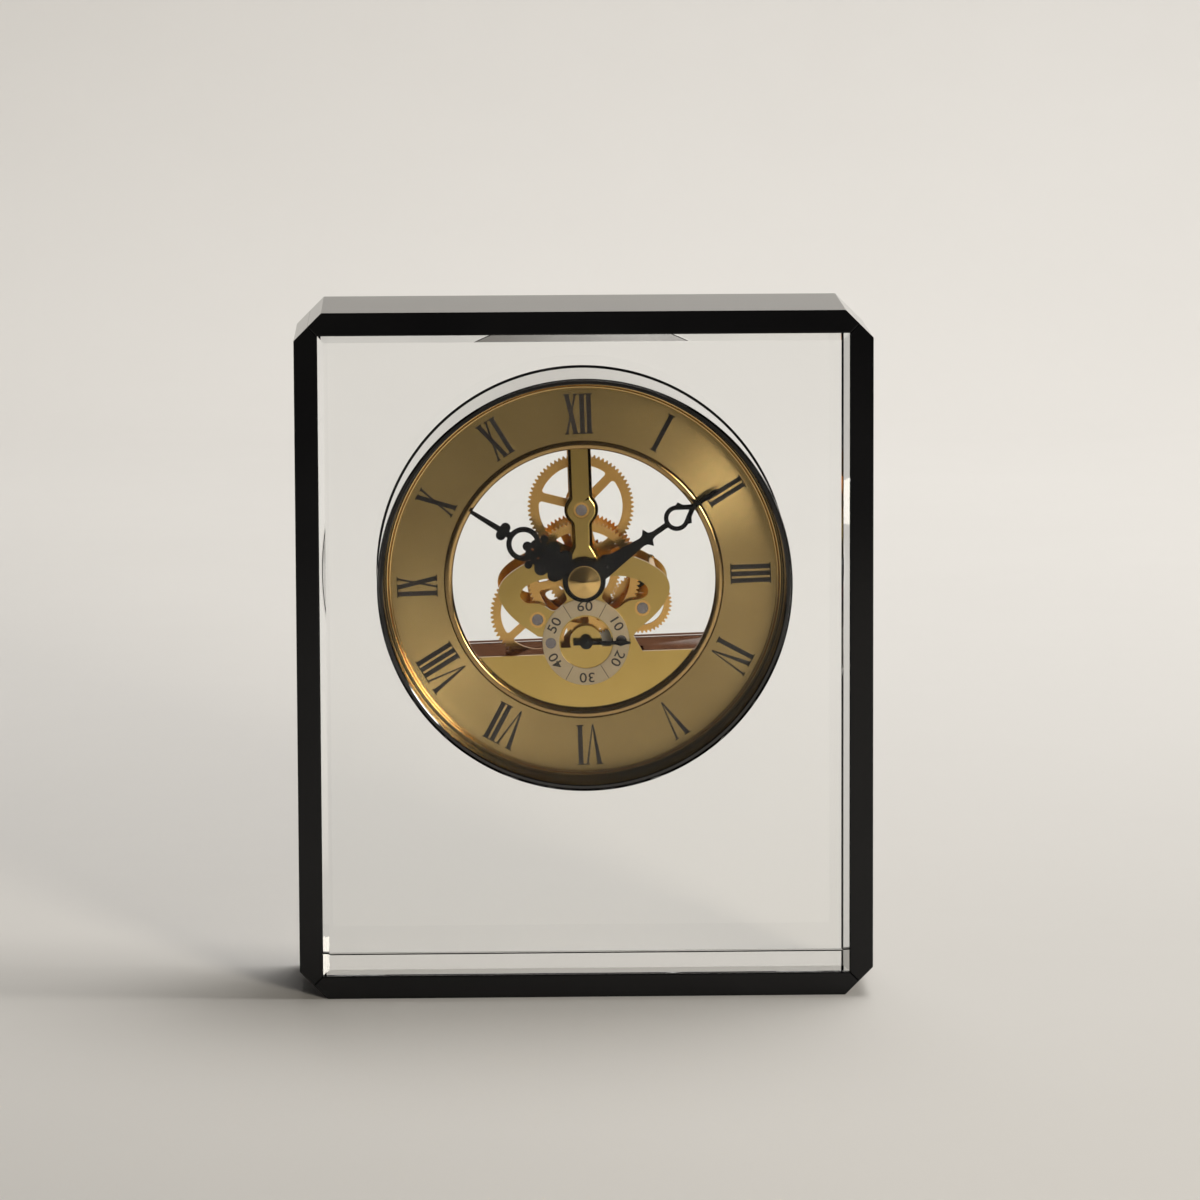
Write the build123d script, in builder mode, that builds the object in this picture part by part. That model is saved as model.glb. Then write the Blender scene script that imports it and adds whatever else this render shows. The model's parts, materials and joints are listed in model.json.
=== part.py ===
from build123d import *
from math import acos, atan2, cos, degrees, hypot, pi, radians, sin, sqrt, tan
import os

# Crystal table clock. A clear glass block stands in a frame of four black glass
# panels, and a round skeleton clock is pushed into a bore through the block.
# Millimetres. +Z is up, the front faces -Y, the origin is the middle of the base.

# Block and panels
block_width = 125.0
block_height = 150.0
block_depth = 40.0
panel_thickness = 5.0
corner_chamfer = 6.0
glass_bevel = 1.4
rear_bevel = 0.3
panel_gap = 0.08
bore_radius = 45.0
glass_over_bore = 9.5
bore_height = block_height - panel_thickness - glass_over_bore - bore_radius

# Housing of the round insert. A depth is measured back from the block's front face.
insert_twist = 1.8
insert_gap = 0.2
case_radius = bore_radius - insert_gap
bezel_front = 0.2
bezel_depth = 1.9
bezel_lip_width = 1.1
bezel_lip_thickness = 1.0
seat_play = 0.1
pocket_wall = 0.7
case_wall = 2.5
case_end = 38.8
gasket_depths = (14.8, 29.8)
gasket_wire_radius = 0.7
gasket_bore_play = 0.04
gasket_groove_play = 0.03

# Lens, dial and rings
lens_thickness = 1.5
dial_depth = 10.0
dial_thickness = 0.6
dial_radius = 42.0
window_radius = 28.6
lip_width = 1.9
lip_rise = 0.5
trim_width = 1.3
trim_rise = 0.5
trim_groove = 0.24
lip_fit = 0.02
bezel_wall_slope = 1.0
carrier_thickness = 2.3
carrier_step = 0.6

# Front bridge plate and the plates behind it
plate_depth = 12.0
plate_thickness = 1.0
plate_edge_gap = 0.3
segment_top = -16.5
hub_radius = 5.6
rear_plate_depth = 30.0
subdial_outer = 9.5
subdial_inner = 5.9
subdial_thickness = 0.5
subdial_screw_radius = 1.2
subdial_land = 0.3
island_radius = 3.5
island_foot = 1.2
seconds_foot_radius = 2.5
top_foot_radius = 3.0
rear_neck_width = 4.8
screw_slot = 0.4
screw_slot_depth = 0.3
bush_radius = 1.75
pivot_radius = 1.2
running_clearance = 0.05

# Pivots of the train, across and up from the hands' axis
seconds_axis = (0.0, -13.9)
top_axis = (0.0, 15.2)
left_axis = (-10.4, -8.7)
right_axis = (12.6, -7.0)

# Teeth
pressure_angle = 25.0
wheel_addendum = 0.7
pinion_addendum = 0.9
tooth_gap = 0.3
tooth_share = 0.46
wheel_thickness = 0.8
pinion_overhang = 0.3
seconds_pinion_teeth = 10
left_wheel_teeth = 60
left_pinion_teeth = 8
centre_wheel_teeth = 80
cannon_teeth = 24
top_wheel_teeth = 72
top_pinion_teeth = 20
hour_wheel_teeth = 80
setting_gear_teeth = 54
right_wheel_teeth = 44
reduction_pinion_teeth = 12
reduction_wheel_teeth = 60
rotor_pinion_teeth = 10
seconds_wheel_teeth = 60
motor_module = 0.2
reduction_bearing = -35.0
rotor_bearing = -40.0

# Windows of the wheels: rim's inner radius, hub radius, spokes, spoke width, first spoke's direction
seconds_wheel_windows = (4.7, 2.0, 4, 1.0, 20)
left_wheel_windows = (7.9, 2.6, 3, 1.6, 100)
centre_wheel_windows = (9.9, 3.8, 4, 1.8, 25)
setting_gear_windows = (6.0, 2.8, 4, 1.4, 45)
hour_wheel_windows = (10.2, 3.2, 4, 1.7, 10)
top_wheel_windows = (9.15, 3.3, 3, 1.9, 44)
right_wheel_windows = (4.9, 2.2, 3, 1.3, 20)

# Depths of the wheels' front faces
hour_wheel_depth = 14.3
top_wheel_depth = 17.2
setting_gear_depth = 20.4
left_wheel_depth = 22.8
centre_wheel_depth = 27.4
reduction_wheel_depth = 15.5
seconds_wheel_depth = 17.4

# Arbors, pipes and hands
arbor_radius = 0.8
minute_arbor_radius = 0.9
pipe_play = 0.08
pipe_wall = 0.65
journal_length = 1.15
journal_gap = 0.05
collar_gap = 0.05
spring_collar_radius = 1.8
spring_collar_length = 0.8
rear_collar_radius = 1.6
clutch_thickness = 0.5
clutch_arm = 3.5
clutch_arm_width = 0.9
hand_thickness = 0.3
minute_hand_depth = 6.5
hour_hand_depth = 7.9
second_hand_depth = 9.6
cap_radius = 3.55
cap_rim = 0.7
cap_cone = 1.5
cap_knurls = 44
cap_knurl_radius = 0.11
cap_top_radius = 0.15
minute_hub_radius = 4.3
minute_hand_length = 35.8
hour_hub_radius = 4.7
hour_hand_length = 29.0
second_hub_radius = 1.4
second_hand_length = 9.7
second_tail_length = 2.8
minute_angle = 57.4
hour_angle = 303.8
second_angle = 91.7

# Upper arm that carries the top wheel
arm_front = 10.75
arm_width = 5.0
arm_bevel = 0.7
arm_boss_radius = 3.7
arm_waist = 4.4
arm_top = 32.5
arm_foot = 2.4
arm_slot_play = 0.1

# Battery base and motor box
base_radius = 42.2
base_depth = 13.0
base_end = 38.2
base_wall = 1.2
cover_thickness = 1.0
battery_radius = 5.25
battery_length = 44.5
battery_height = -28.8
battery_depth = 31.6
battery_door_play = 0.25
partition_depth = 24.6
partition_thickness = 1.0
rib_thickness = 1.2
rib_spacing = 26.0
contact_thickness = 0.4
contact_width = 9.4
contact_end = 36.0
cover_lip_depth = 1.6
cover_play = 0.1
wheel_slot_play = 0.6
bridge_depth = 19.4
bridge_thickness = 0.7
motor_arbor_radius = 0.5
motor_arbor_front = 13.6
rotor_radius = 1.9
rotor_gap = 0.4
rotor_depth = 17.0
rotor_thickness = 1.0
stator_depth = 17.0
stator_thickness = 0.6
stator_width = 2.0
coil_radius = 2.0
coil_length = 13.0
coil_spot = (1.5, -27.6)
core_size = 1.2
motor_posts = ((-8.2, -20.5), (-8.2, -29.5), (16.8, -27.5))
motor_post_radius = 1.3
motor_head_radius = 1.2
bridge_margin = 0.8
bridge_tongue = 8.0
coil_play = 0.4
stator_rim = 1.6
board_depth = 17.0
board_thickness = 1.0
board_width = 14.0
board_height = 10.0
board_spot = (-19.0, -25.0)

# Back of the insert
rear_window_depth = 33.4
rear_window_thickness = 1.2
knob_radius = 4.2
knob_thickness = 3.2
knob_gap = 0.5
knob_grooves = 24
knob_groove_radius = 0.25
rear_shoulder_wall = 1.4
rear_ring_width = 1.7
rear_ring_thickness = 1.2
rear_play = 0.1
pillar_radius = 0.95
pillar_head_radius = 1.3
pillar_head_thickness = 0.7
side_pillar = (15.0, 1.0)
top_pillar_height = 28.05

front_y = -block_depth / 2
half_width = block_width / 2


def dial_plane(depth, centre=(0.0, 0.0), clockwise=0.0):
    """Plane parallel to the front, `depth` behind it, whose normal faces the viewer."""
    twist = radians(insert_twist)
    across, up = centre
    x = across * cos(twist) - up * sin(twist)
    z = bore_height + across * sin(twist) + up * cos(twist)
    heading = twist - radians(clockwise)
    return Plane(origin=(x, front_y + depth, z), x_dir=(cos(heading), 0, sin(heading)), z_dir=(0, -1, 0))


def disc(depth, thickness, radius, hole=0.0, centre=(0.0, 0.0)):
    """Round plate or tube, from its front face backwards."""
    with BuildPart() as plate:
        with BuildSketch(dial_plane(depth, centre)):
            Circle(radius)
            if hole > 0:
                Circle(hole, mode=Mode.SUBTRACT)
        extrude(amount=-thickness)
    return plate.part


def distance(a, b):
    """Distance between two pivots."""
    return hypot(a[0] - b[0], a[1] - b[1])


def bearing(a, b):
    """Direction from pivot a to pivot b, in degrees."""
    return degrees(atan2(b[1] - a[1], b[0] - a[0]))


def tooth_outline(teeth, module, addendum, mate_addendum, first_tooth):
    """Points of a ring of involute teeth, one of them centred on the angle first_tooth."""
    pitch = teeth * module / 2
    base = pitch * cos(radians(pressure_angle))
    tip = pitch + addendum * module
    root = pitch - (mate_addendum + tooth_gap) * module
    half_tooth = pi * tooth_share / teeth
    roll = tan(radians(pressure_angle)) - radians(pressure_angle)

    def half_angle(radius):
        """Half of the tooth's angle at a radius."""
        if radius <= base:
            return half_tooth + roll
        slope = acos(base / radius)
        return half_tooth + roll - (tan(slope) - slope)

    start = max(base, root)
    flank = [root, start + 0.25 * (tip - start), start + 0.65 * (tip - start), tip]
    if root < base:
        flank.insert(1, base)
    points = []
    for number in range(teeth):
        middle = radians(first_tooth) + 2 * pi * number / teeth
        left = [(r, middle - half_angle(r)) for r in flank]
        right = [(r, middle + half_angle(r)) for r in reversed(flank)]
        points += [(r * cos(a), r * sin(a)) for r, a in left + right]
    return points


def toothed_disc(depth, centre, thickness, points, hole=0.0):
    """Solid pinion or wheel blank with teeth, from its front face backwards."""
    with BuildPart() as gear:
        with BuildSketch(dial_plane(depth, centre)):
            with BuildLine():
                Polyline(*points, close=True)
            make_face()
            if hole > 0:
                Circle(hole, mode=Mode.SUBTRACT)
        extrude(amount=-thickness)
    return gear.part


def spoked_wheel(depth, centre, points, hole, windows):
    """Toothed wheel with openings between its spokes."""
    rim_inner, hub, spokes, spoke_width, first_spoke = windows
    with BuildPart() as wheel:
        add(toothed_disc(depth, centre, wheel_thickness, points, hole))
        with BuildSketch(dial_plane(depth, centre)) as openings:
            Circle(rim_inner)
            Circle(hub, mode=Mode.SUBTRACT)
            with PolarLocations(0, spokes, first_spoke):
                Rectangle(rim_inner + 1, spoke_width, align=(Align.MIN, Align.CENTER), mode=Mode.SUBTRACT)
            fillet(openings.vertices(), spoke_width / 3)
        extrude(amount=-wheel_thickness, mode=Mode.SUBTRACT)
    return wheel.part


def mesh_module(a, b, teeth_a, teeth_b):
    """Module at which two wheels on pivots a and b mesh."""
    return 2 * distance(a, b) / (teeth_a + teeth_b)


def pair_outlines(a, b, teeth_a, teeth_b, module, addendum_a, addendum_b):
    """Outlines of two meshed gears: a tooth of gear a stands in a gap of gear b."""
    towards = bearing(a, b)
    gear_a = tooth_outline(teeth_a, module, addendum_a, addendum_b, towards)
    gear_b = tooth_outline(teeth_b, module, addendum_b, addendum_a, towards + 180 + 180 / teeth_b)
    return gear_a, gear_b


def save(part, name):
    """Label a finished piece and write it."""
    part.label = name
    export_step(part, f"parts/{name}.step")


os.makedirs("parts", exist_ok=True)

# Clear block: bevelled along its front edges, with fine bevels behind, and bored right through.
window_left = -half_width + panel_thickness + panel_gap
window_bottom = panel_thickness + panel_gap
glass_width = -2 * window_left
glass_height = block_height - 2 * window_bottom
with BuildPart() as crystal_block:
    with BuildSketch(Plane.XZ.offset(-front_y)):
        with Locations((0, block_height / 2)):
            Rectangle(glass_width, glass_height)
    extrude(amount=-block_depth)
    front_rims = crystal_block.faces().sort_by(Axis.Y)[0].edges()
    chamfer(front_rims, glass_bevel)
    rear_rims = crystal_block.faces().sort_by(Axis.Y)[-1].edges()
    chamfer(rear_rims, rear_bevel)
    with BuildSketch(dial_plane(0)):
        Circle(bore_radius)
    extrude(amount=-block_depth, mode=Mode.SUBTRACT)
    rear_rim = crystal_block.edges().filter_by(GeomType.CIRCLE).sort_by(Axis.Y)[-1]
    chamfer(rear_rim, rear_bevel)
save(crystal_block.part, "crystal_block")

# Black glass panels, mitred at the corners, with the outer corners cut at 45 degrees.
mitre = corner_chamfer / 2
side_outline = [
    (-half_width, corner_chamfer),
    (-half_width + mitre, mitre),
    (-half_width + panel_thickness, panel_thickness),
    (-half_width + panel_thickness, block_height - panel_thickness),
    (-half_width + mitre, block_height - mitre),
    (-half_width, block_height - corner_chamfer),
]
base_outline = [
    (-half_width + corner_chamfer, 0),
    (half_width - corner_chamfer, 0),
    (half_width - mitre, mitre),
    (half_width - panel_thickness, panel_thickness),
    (-half_width + panel_thickness, panel_thickness),
    (-half_width + mitre, mitre),
]
panel_outlines = {
    "left_panel": side_outline,
    "right_panel": [(-x, z) for x, z in side_outline],
    "bottom_panel": base_outline,
    "top_panel": [(x, block_height - z) for x, z in base_outline],
}
for name, outline in panel_outlines.items():
    with BuildPart() as panel:
        with BuildSketch(Plane.XZ.offset(-front_y)):
            with BuildLine():
                Polyline(*outline, close=True)
            make_face()
        extrude(amount=-block_depth)
    save(panel.part, name)

# Housing: a front bezel with a narrow lip, and a tube with two grooves for the gaskets.
pocket_radius = case_radius - pocket_wall
bezel_end = bezel_front + bezel_depth
carrier_end = dial_depth + dial_thickness + carrier_thickness
case_bore = case_radius - case_wall
rear_pocket_radius = case_radius - rear_shoulder_wall
bezel_ring = disc(bezel_front, bezel_lip_thickness, case_radius, case_radius - bezel_lip_width)
bezel_ring += disc(bezel_front + bezel_lip_thickness, bezel_depth - bezel_lip_thickness, case_radius, pocket_radius)
save(bezel_ring, "bezel_ring")

gasket_centre_radius = bore_radius - gasket_bore_play - gasket_wire_radius
groove_floor = gasket_centre_radius - gasket_wire_radius - gasket_groove_play
groove_width = 2 * (gasket_wire_radius + gasket_groove_play)
with BuildPart() as case_ring:
    add(disc(bezel_end, case_end - bezel_end, case_radius, case_bore))
    add(disc(bezel_end, carrier_end - bezel_end, pocket_radius), mode=Mode.SUBTRACT)
    add(disc(rear_window_depth, case_end - rear_window_depth, rear_pocket_radius), mode=Mode.SUBTRACT)
    for depth in gasket_depths:
        add(disc(depth - groove_width / 2, groove_width, case_radius + 1, groove_floor), mode=Mode.SUBTRACT)
save(case_ring.part, "case_ring")

rubber_gaskets = []
for depth in gasket_depths:
    ring_plane = dial_plane(depth)
    with BuildPart(ring_plane) as gasket:
        Torus(gasket_centre_radius, gasket_wire_radius)
    rubber_gaskets.append(gasket.part)
save(Compound(children=rubber_gaskets), "rubber_gaskets")

# Front lens, and the black wall that runs from it down to the dial.
lens_depth = bezel_front + bezel_lip_thickness
lens_end = lens_depth + lens_thickness
seat_radius = pocket_radius - seat_play
save(disc(lens_depth, lens_thickness, seat_radius), "front_lens")

wall_end = dial_depth
wall_inner = dial_radius + trim_width
with BuildPart() as bezel_wall:
    with BuildSketch(dial_plane(wall_end)):
        Circle(seat_radius)
    extrude(amount=wall_end - lens_end)
    with BuildSketch(dial_plane(wall_end)):
        Circle(wall_inner)
    with BuildSketch(dial_plane(lens_end)):
        Circle(min(wall_inner + bezel_wall_slope, seat_radius - seat_play))
    loft(mode=Mode.SUBTRACT)
save(bezel_wall.part, "bezel_wall")

# Dial: the chapter ring with a thin double trim ring outside and a raised lip inside.
with BuildPart() as trim_ring:
    add(disc(dial_depth - trim_rise, trim_rise, wall_inner - seat_play, dial_radius))
    groove_radius = dial_radius + trim_width / 2
    add(
        disc(dial_depth - trim_rise, trim_rise / 2, groove_radius + trim_groove / 2, groove_radius - trim_groove / 2),
        mode=Mode.SUBTRACT,
    )
save(trim_ring.part, "trim_ring")
save(disc(dial_depth, dial_thickness, seat_radius, window_radius + lip_width), "chapter_ring")

lip_outer = window_radius + lip_width
with BuildPart() as window_lip:
    add(disc(dial_depth - lip_rise, lip_rise + dial_thickness, lip_outer - lip_fit, window_radius))
    lip_edges = window_lip.faces().sort_by(Axis.Y)[0].edges()
    chamfer(lip_edges, lip_rise * 0.7)
save(window_lip.part, "window_lip")

carrier_bore = window_radius + carrier_step
with BuildPart() as dial_carrier:
    add(disc(dial_depth + dial_thickness, carrier_thickness, seat_radius, carrier_bore))
    with BuildSketch(dial_plane(dial_depth + dial_thickness)):
        with Locations((0, carrier_bore - 1)):
            Rectangle(
                arm_width + 2 * arm_slot_play,
                arm_top + arm_slot_play - carrier_bore + 1,
                align=(Align.CENTER, Align.MIN),
            )
    extrude(amount=-(plate_depth - dial_depth - dial_thickness), mode=Mode.SUBTRACT)
save(dial_carrier.part, "dial_carrier")

# Bridge plates: two lobes with windows beside the hands' axis.
lobe = [(4.2, 5.0), (11.3, 4.2), (15.6, 2.0), (18.3, -0.8), (18.7, -2.7), (18.1, -4.8), (15.2, -8.6), (10.4, -12.4)]
lobe_window = [(5.2, 0.3), (8.6, 0.2), (11.2, -0.5), (13.4, -1.9), (14.0, -3.4), (12.8, -4.8), (10.1, -5.2)]
lobe_window += [(8.4, -6.0), (6.9, -6.9), (4.8, -5.6), (3.9, -4.6), (4.5, -2.2)]


def mirrored_pair(outline, closed):
    """Faces of both lobes, or of both windows, from the outline of the right one."""
    with BuildSketch() as pair:
        for side in (-1, 1):
            curve = [(side * u, v) for u, v in outline]
            with BuildLine():
                if closed:
                    Spline(*curve, periodic=True)
                else:
                    Spline(*curve)
                    Polyline(curve[-1], seconds_axis, (0, 0), curve[0])
            make_face()
    return pair.sketch


lobes = mirrored_pair(lobe, False)
lobe_windows = mirrored_pair(lobe_window, True)
pipe_inner = minute_arbor_radius + pipe_play
pipe_outer = pipe_inner + pipe_wall
segment_radius = carrier_bore - plate_edge_gap
neck = [(6.0, -11.0), (11.2, -12.0), (10.4, -13.0), (12.3, segment_top), (0.0, segment_top)]
with BuildPart() as front_plate:
    with BuildSketch(dial_plane(plate_depth)):
        Circle(hub_radius)
        add(lobes)
        with Locations(seconds_axis):
            Circle(subdial_outer)
        with BuildLine():
            Polyline(*neck, close=True)
        make_face()
    extrude(amount=-plate_thickness)
    with BuildSketch(dial_plane(plate_depth)):
        Circle(segment_radius)
        with Locations((0, segment_top)):
            Rectangle(4 * segment_radius, 2 * segment_radius, align=(Align.CENTER, Align.MIN), mode=Mode.SUBTRACT)
    extrude(amount=-plate_thickness)
    with BuildSketch(dial_plane(plate_depth)):
        add(lobe_windows)
        Circle(pipe_outer + running_clearance)
        with Locations(left_axis, right_axis):
            Circle(bush_radius)
    extrude(amount=-plate_thickness, mode=Mode.SUBTRACT)
    with BuildSketch(dial_plane(plate_depth)):
        with Locations(seconds_axis):
            Circle(subdial_inner - subdial_land)
            Circle(island_radius, mode=Mode.SUBTRACT)
        with Locations((0, seconds_axis[1] - island_foot)):
            Rectangle(2 * subdial_outer, 2 * subdial_outer, align=(Align.CENTER, Align.MAX), mode=Mode.SUBTRACT)
    extrude(amount=-plate_thickness, mode=Mode.SUBTRACT)
    with BuildSketch(dial_plane(plate_depth)):
        with Locations(seconds_axis):
            Circle(arbor_radius + running_clearance)
    extrude(amount=-plate_thickness, mode=Mode.SUBTRACT)
save(front_plate.part, "front_plate")

with BuildPart() as rear_plate:
    with BuildSketch(dial_plane(rear_plate_depth)):
        Circle(hub_radius)
        add(lobes)
        with Locations(seconds_axis):
            Circle(seconds_foot_radius)
        with Locations(top_axis):
            Circle(top_foot_radius)
        with Locations((0, segment_top)):
            Rectangle(2 * seconds_foot_radius, seconds_axis[1] - segment_top, align=(Align.CENTER, Align.MIN))
        Rectangle(rear_neck_width, top_pillar_height, align=(Align.CENTER, Align.MIN))
        with Locations((0, top_pillar_height)):
            Circle(rear_neck_width / 2)
    extrude(amount=-plate_thickness)
    with BuildSketch(dial_plane(rear_plate_depth)):
        add(lobe_windows)
        Circle(minute_arbor_radius + running_clearance)
        with Locations(seconds_axis, top_axis, left_axis, right_axis):
            Circle(arbor_radius + running_clearance)
    extrude(amount=-plate_thickness, mode=Mode.SUBTRACT)
save(rear_plate.part, "rear_plate")

# Pillars between the plates, with a screw in the rear end of each.
top_pillar = (0.0, top_pillar_height)
plate_span = rear_plate_depth - plate_depth
pillars = [
    disc(plate_depth + plate_thickness, plate_span - plate_thickness, pillar_radius, 0, side_pillar),
    disc(plate_depth, plate_span, pillar_radius, 0, top_pillar),
]
save(Compound(children=pillars), "plate_pillars")
pillar_screws = []
for spot in (side_pillar, top_pillar):
    head_depth = rear_plate_depth + plate_thickness
    with BuildPart() as screw:
        add(disc(head_depth, pillar_head_thickness, pillar_head_radius, 0, spot))
        with BuildSketch(dial_plane(head_depth + pillar_head_thickness, spot, 25)):
            Rectangle(3 * pillar_head_radius, screw_slot)
        extrude(amount=screw_slot_depth, mode=Mode.SUBTRACT)
    pillar_screws.append(screw.part)
save(Compound(children=pillar_screws), "pillar_screws")

# Bushes pressed in the front plate and the arm, in which the arbors' front pivots turn.
pivot_hole = pivot_radius + running_clearance
bushes = [
    disc(plate_depth, plate_thickness, bush_radius, pivot_hole, left_axis),
    disc(plate_depth, plate_thickness, bush_radius, pivot_hole, right_axis),
    disc(arm_front, plate_depth - arm_front, bush_radius, pivot_hole, top_axis),
]
save(Compound(children=bushes), "pivot_bushes")

# Seconds dial and its two small screws.
subdial_depth = plate_depth - subdial_thickness
screw_offset = (subdial_outer + subdial_inner) / 2
with BuildPart() as subdial_ring:
    with BuildSketch(dial_plane(subdial_depth, seconds_axis)):
        Circle(subdial_outer)
        Circle(subdial_inner, mode=Mode.SUBTRACT)
        with Locations((-screw_offset, 0), (screw_offset, 0)):
            Circle(subdial_screw_radius, mode=Mode.SUBTRACT)
    extrude(amount=-subdial_thickness)
save(subdial_ring.part, "subdial_ring")
subdial_screws = []
for side in (-1, 1):
    spot = (seconds_axis[0] + side * screw_offset, seconds_axis[1])
    with BuildPart() as screw:
        add(disc(subdial_depth + 0.1, subdial_thickness - 0.1, subdial_screw_radius - 0.05, 0, spot))
        with BuildSketch(dial_plane(subdial_depth + 0.1, spot, 40)):
            Rectangle(3 * subdial_screw_radius, screw_slot)
        extrude(amount=-0.2, mode=Mode.SUBTRACT)
    subdial_screws.append(screw.part)
save(Compound(children=subdial_screws), "subdial_screws")

# Upper arm: its top lies in a slot of the dial's carrier and its foot on the front plate.
arm_depth = arm_front + arm_bevel
with BuildSketch() as arm_outline:
    with Locations(top_axis):
        Circle(arm_boss_radius)
        Rectangle(arm_width, arm_top - top_axis[1], align=(Align.CENTER, Align.MIN))
    with BuildLine():
        Polyline(
            (-arm_waist / 2, top_axis[1]),
            (-arm_waist / 2, hub_radius + 1.8),
            (-arm_boss_radius, arm_foot + 2.2),
            (-arm_boss_radius, arm_foot),
            (arm_boss_radius, arm_foot),
            (arm_boss_radius, arm_foot + 2.2),
            (arm_waist / 2, hub_radius + 1.8),
            (arm_waist / 2, top_axis[1]),
            close=True,
        )
    make_face()
    inner_corners = arm_outline.vertices().filter_by(lambda v: top_axis[1] - 6 < v.Y < top_axis[1] + 6)
    fillet(inner_corners, 1.2)
with BuildPart() as upper_arm:
    with BuildSketch(dial_plane(plate_depth)):
        add(arm_outline.sketch)
    extrude(amount=plate_depth - arm_front)
    front_edges = upper_arm.faces().sort_by(Axis.Y)[0].edges()
    chamfer(front_edges, arm_bevel)
    with BuildSketch(dial_plane(arm_front, top_axis)):
        Circle(bush_radius)
    extrude(amount=-(plate_depth - arm_front), mode=Mode.SUBTRACT)
save(upper_arm.part, "upper_arm")

# Base: a shell shaped like a segment of a disc, open at the back, which holds the motor and the battery.
base_inner_radius = base_radius - base_wall
base_inner_top = segment_top - base_wall
motor_depth = base_depth + base_wall
partition_end = partition_depth + partition_thickness
motor_reach = motor_module * (reduction_wheel_teeth + reduction_pinion_teeth) / 2
rotor_reach = motor_module * (reduction_wheel_teeth + rotor_pinion_teeth) / 2
reduction_axis = (
    seconds_axis[0] + motor_reach * cos(radians(reduction_bearing)),
    seconds_axis[1] + motor_reach * sin(radians(reduction_bearing)),
)
rotor_axis = (
    reduction_axis[0] + rotor_reach * cos(radians(rotor_bearing)),
    reduction_axis[1] + rotor_reach * sin(radians(rotor_bearing)),
)
left_module = mesh_module(left_axis, seconds_axis, left_wheel_teeth, seconds_pinion_teeth)
left_tip = left_module * (left_wheel_teeth / 2 + wheel_addendum)
motor_tip = motor_module * (reduction_wheel_teeth / 2 + wheel_addendum)


def segment(depth, thickness, radius, top):
    """Plate shaped like the part of a disc that lies below a level line."""
    with BuildPart() as plate:
        with BuildSketch(dial_plane(depth)):
            Circle(radius)
            with Locations((0, top)):
                Rectangle(3 * radius, 3 * radius, align=(Align.CENTER, Align.MIN), mode=Mode.SUBTRACT)
        extrude(amount=-thickness)
    return plate.part


def slab(depth, thickness, left, right, low, high):
    """Rectangular plate between two heights."""
    with BuildPart() as plate:
        with BuildSketch(dial_plane(depth)):
            with Locations((left, low)):
                Rectangle(right - left, high - low, align=(Align.MIN, Align.MIN))
        extrude(amount=-thickness)
    return plate.part


def lengthwise(depth, height, left, length, radius):
    """Round bar that lies across the clock, from its left end."""
    twist = radians(insert_twist)
    start = dial_plane(depth, (left, height))
    with BuildPart() as bar:
        with BuildSketch(Plane(origin=start.origin, z_dir=(cos(twist), 0, sin(twist)))):
            Circle(radius)
        extrude(amount=length)
    return bar.part


battery_end = battery_length / 2
contact_end_x = battery_end + contact_thickness
contact_low = battery_height - contact_width / 2
contact_high = battery_height + contact_width / 2
slot_left = min(seconds_axis[0], reduction_axis[0]) - motor_tip - wheel_slot_play
slot_right = reduction_axis[0] + motor_tip + wheel_slot_play
half_slot = sqrt(left_tip ** 2 - (left_axis[1] - segment_top) ** 2) + wheel_slot_play
post_length = bridge_depth - motor_depth
with BuildPart() as base_housing:
    add(segment(base_depth, base_end - base_depth, base_radius, segment_top))
    add(segment(motor_depth, base_end - motor_depth, base_inner_radius, base_inner_top), mode=Mode.SUBTRACT)
    add(segment(partition_depth, partition_thickness, base_inner_radius + 0.1, base_inner_top + 0.1))
    for side in (-1, 1):
        middle = side * rib_spacing / 2
        rib = slab(
            partition_end - 0.1,
            battery_depth - partition_end + 0.1,
            middle - rib_thickness / 2,
            middle + rib_thickness / 2,
            -sqrt(base_inner_radius ** 2 - (rib_spacing / 2) ** 2) + 1.0,
            battery_height + battery_radius + 1.5,
        )
        add(rib)
        wall_near = min(side * contact_end_x, side * (contact_end_x + rib_thickness))
        end_wall = slab(
            partition_end - 0.1,
            contact_end - partition_end + 0.1,
            wall_near,
            wall_near + rib_thickness,
            contact_low + 1.0,
            contact_high,
        )
        add(end_wall)
    add(
        lengthwise(battery_depth, battery_height, -battery_end, battery_length, battery_radius + battery_door_play),
        mode=Mode.SUBTRACT,
    )
    for spot in motor_posts:
        add(disc(motor_depth - 0.1, post_length + 0.1, motor_post_radius, 0, spot))
    for side in (-1, 1):
        post = (board_spot[0] + side * (board_width / 2 - 1.5), board_spot[1] - side * (board_height / 2 - 1.5))
        add(disc(motor_depth - 0.1, board_depth - motor_depth + 0.1, 1.2, 0, post))
    motor_slot = slab(
        motor_depth,
        bridge_depth + bridge_thickness + wheel_slot_play - motor_depth,
        slot_left,
        slot_right,
        base_inner_top - 0.01,
        segment_top + 1,
    )
    add(motor_slot, mode=Mode.SUBTRACT)
    wheel_slot = slab(
        left_wheel_depth - wheel_slot_play,
        wheel_thickness + 2 * wheel_slot_play,
        left_axis[0] - half_slot,
        left_axis[0] + half_slot,
        base_inner_top - 0.01,
        segment_top + 1,
    )
    add(wheel_slot, mode=Mode.SUBTRACT)
    with BuildSketch(dial_plane(motor_depth)):
        with Locations(reduction_axis, rotor_axis):
            Circle(motor_arbor_radius + running_clearance)
    extrude(amount=motor_depth - motor_arbor_front + 0.1, mode=Mode.SUBTRACT)
save(base_housing.part, "base_housing")

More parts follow.
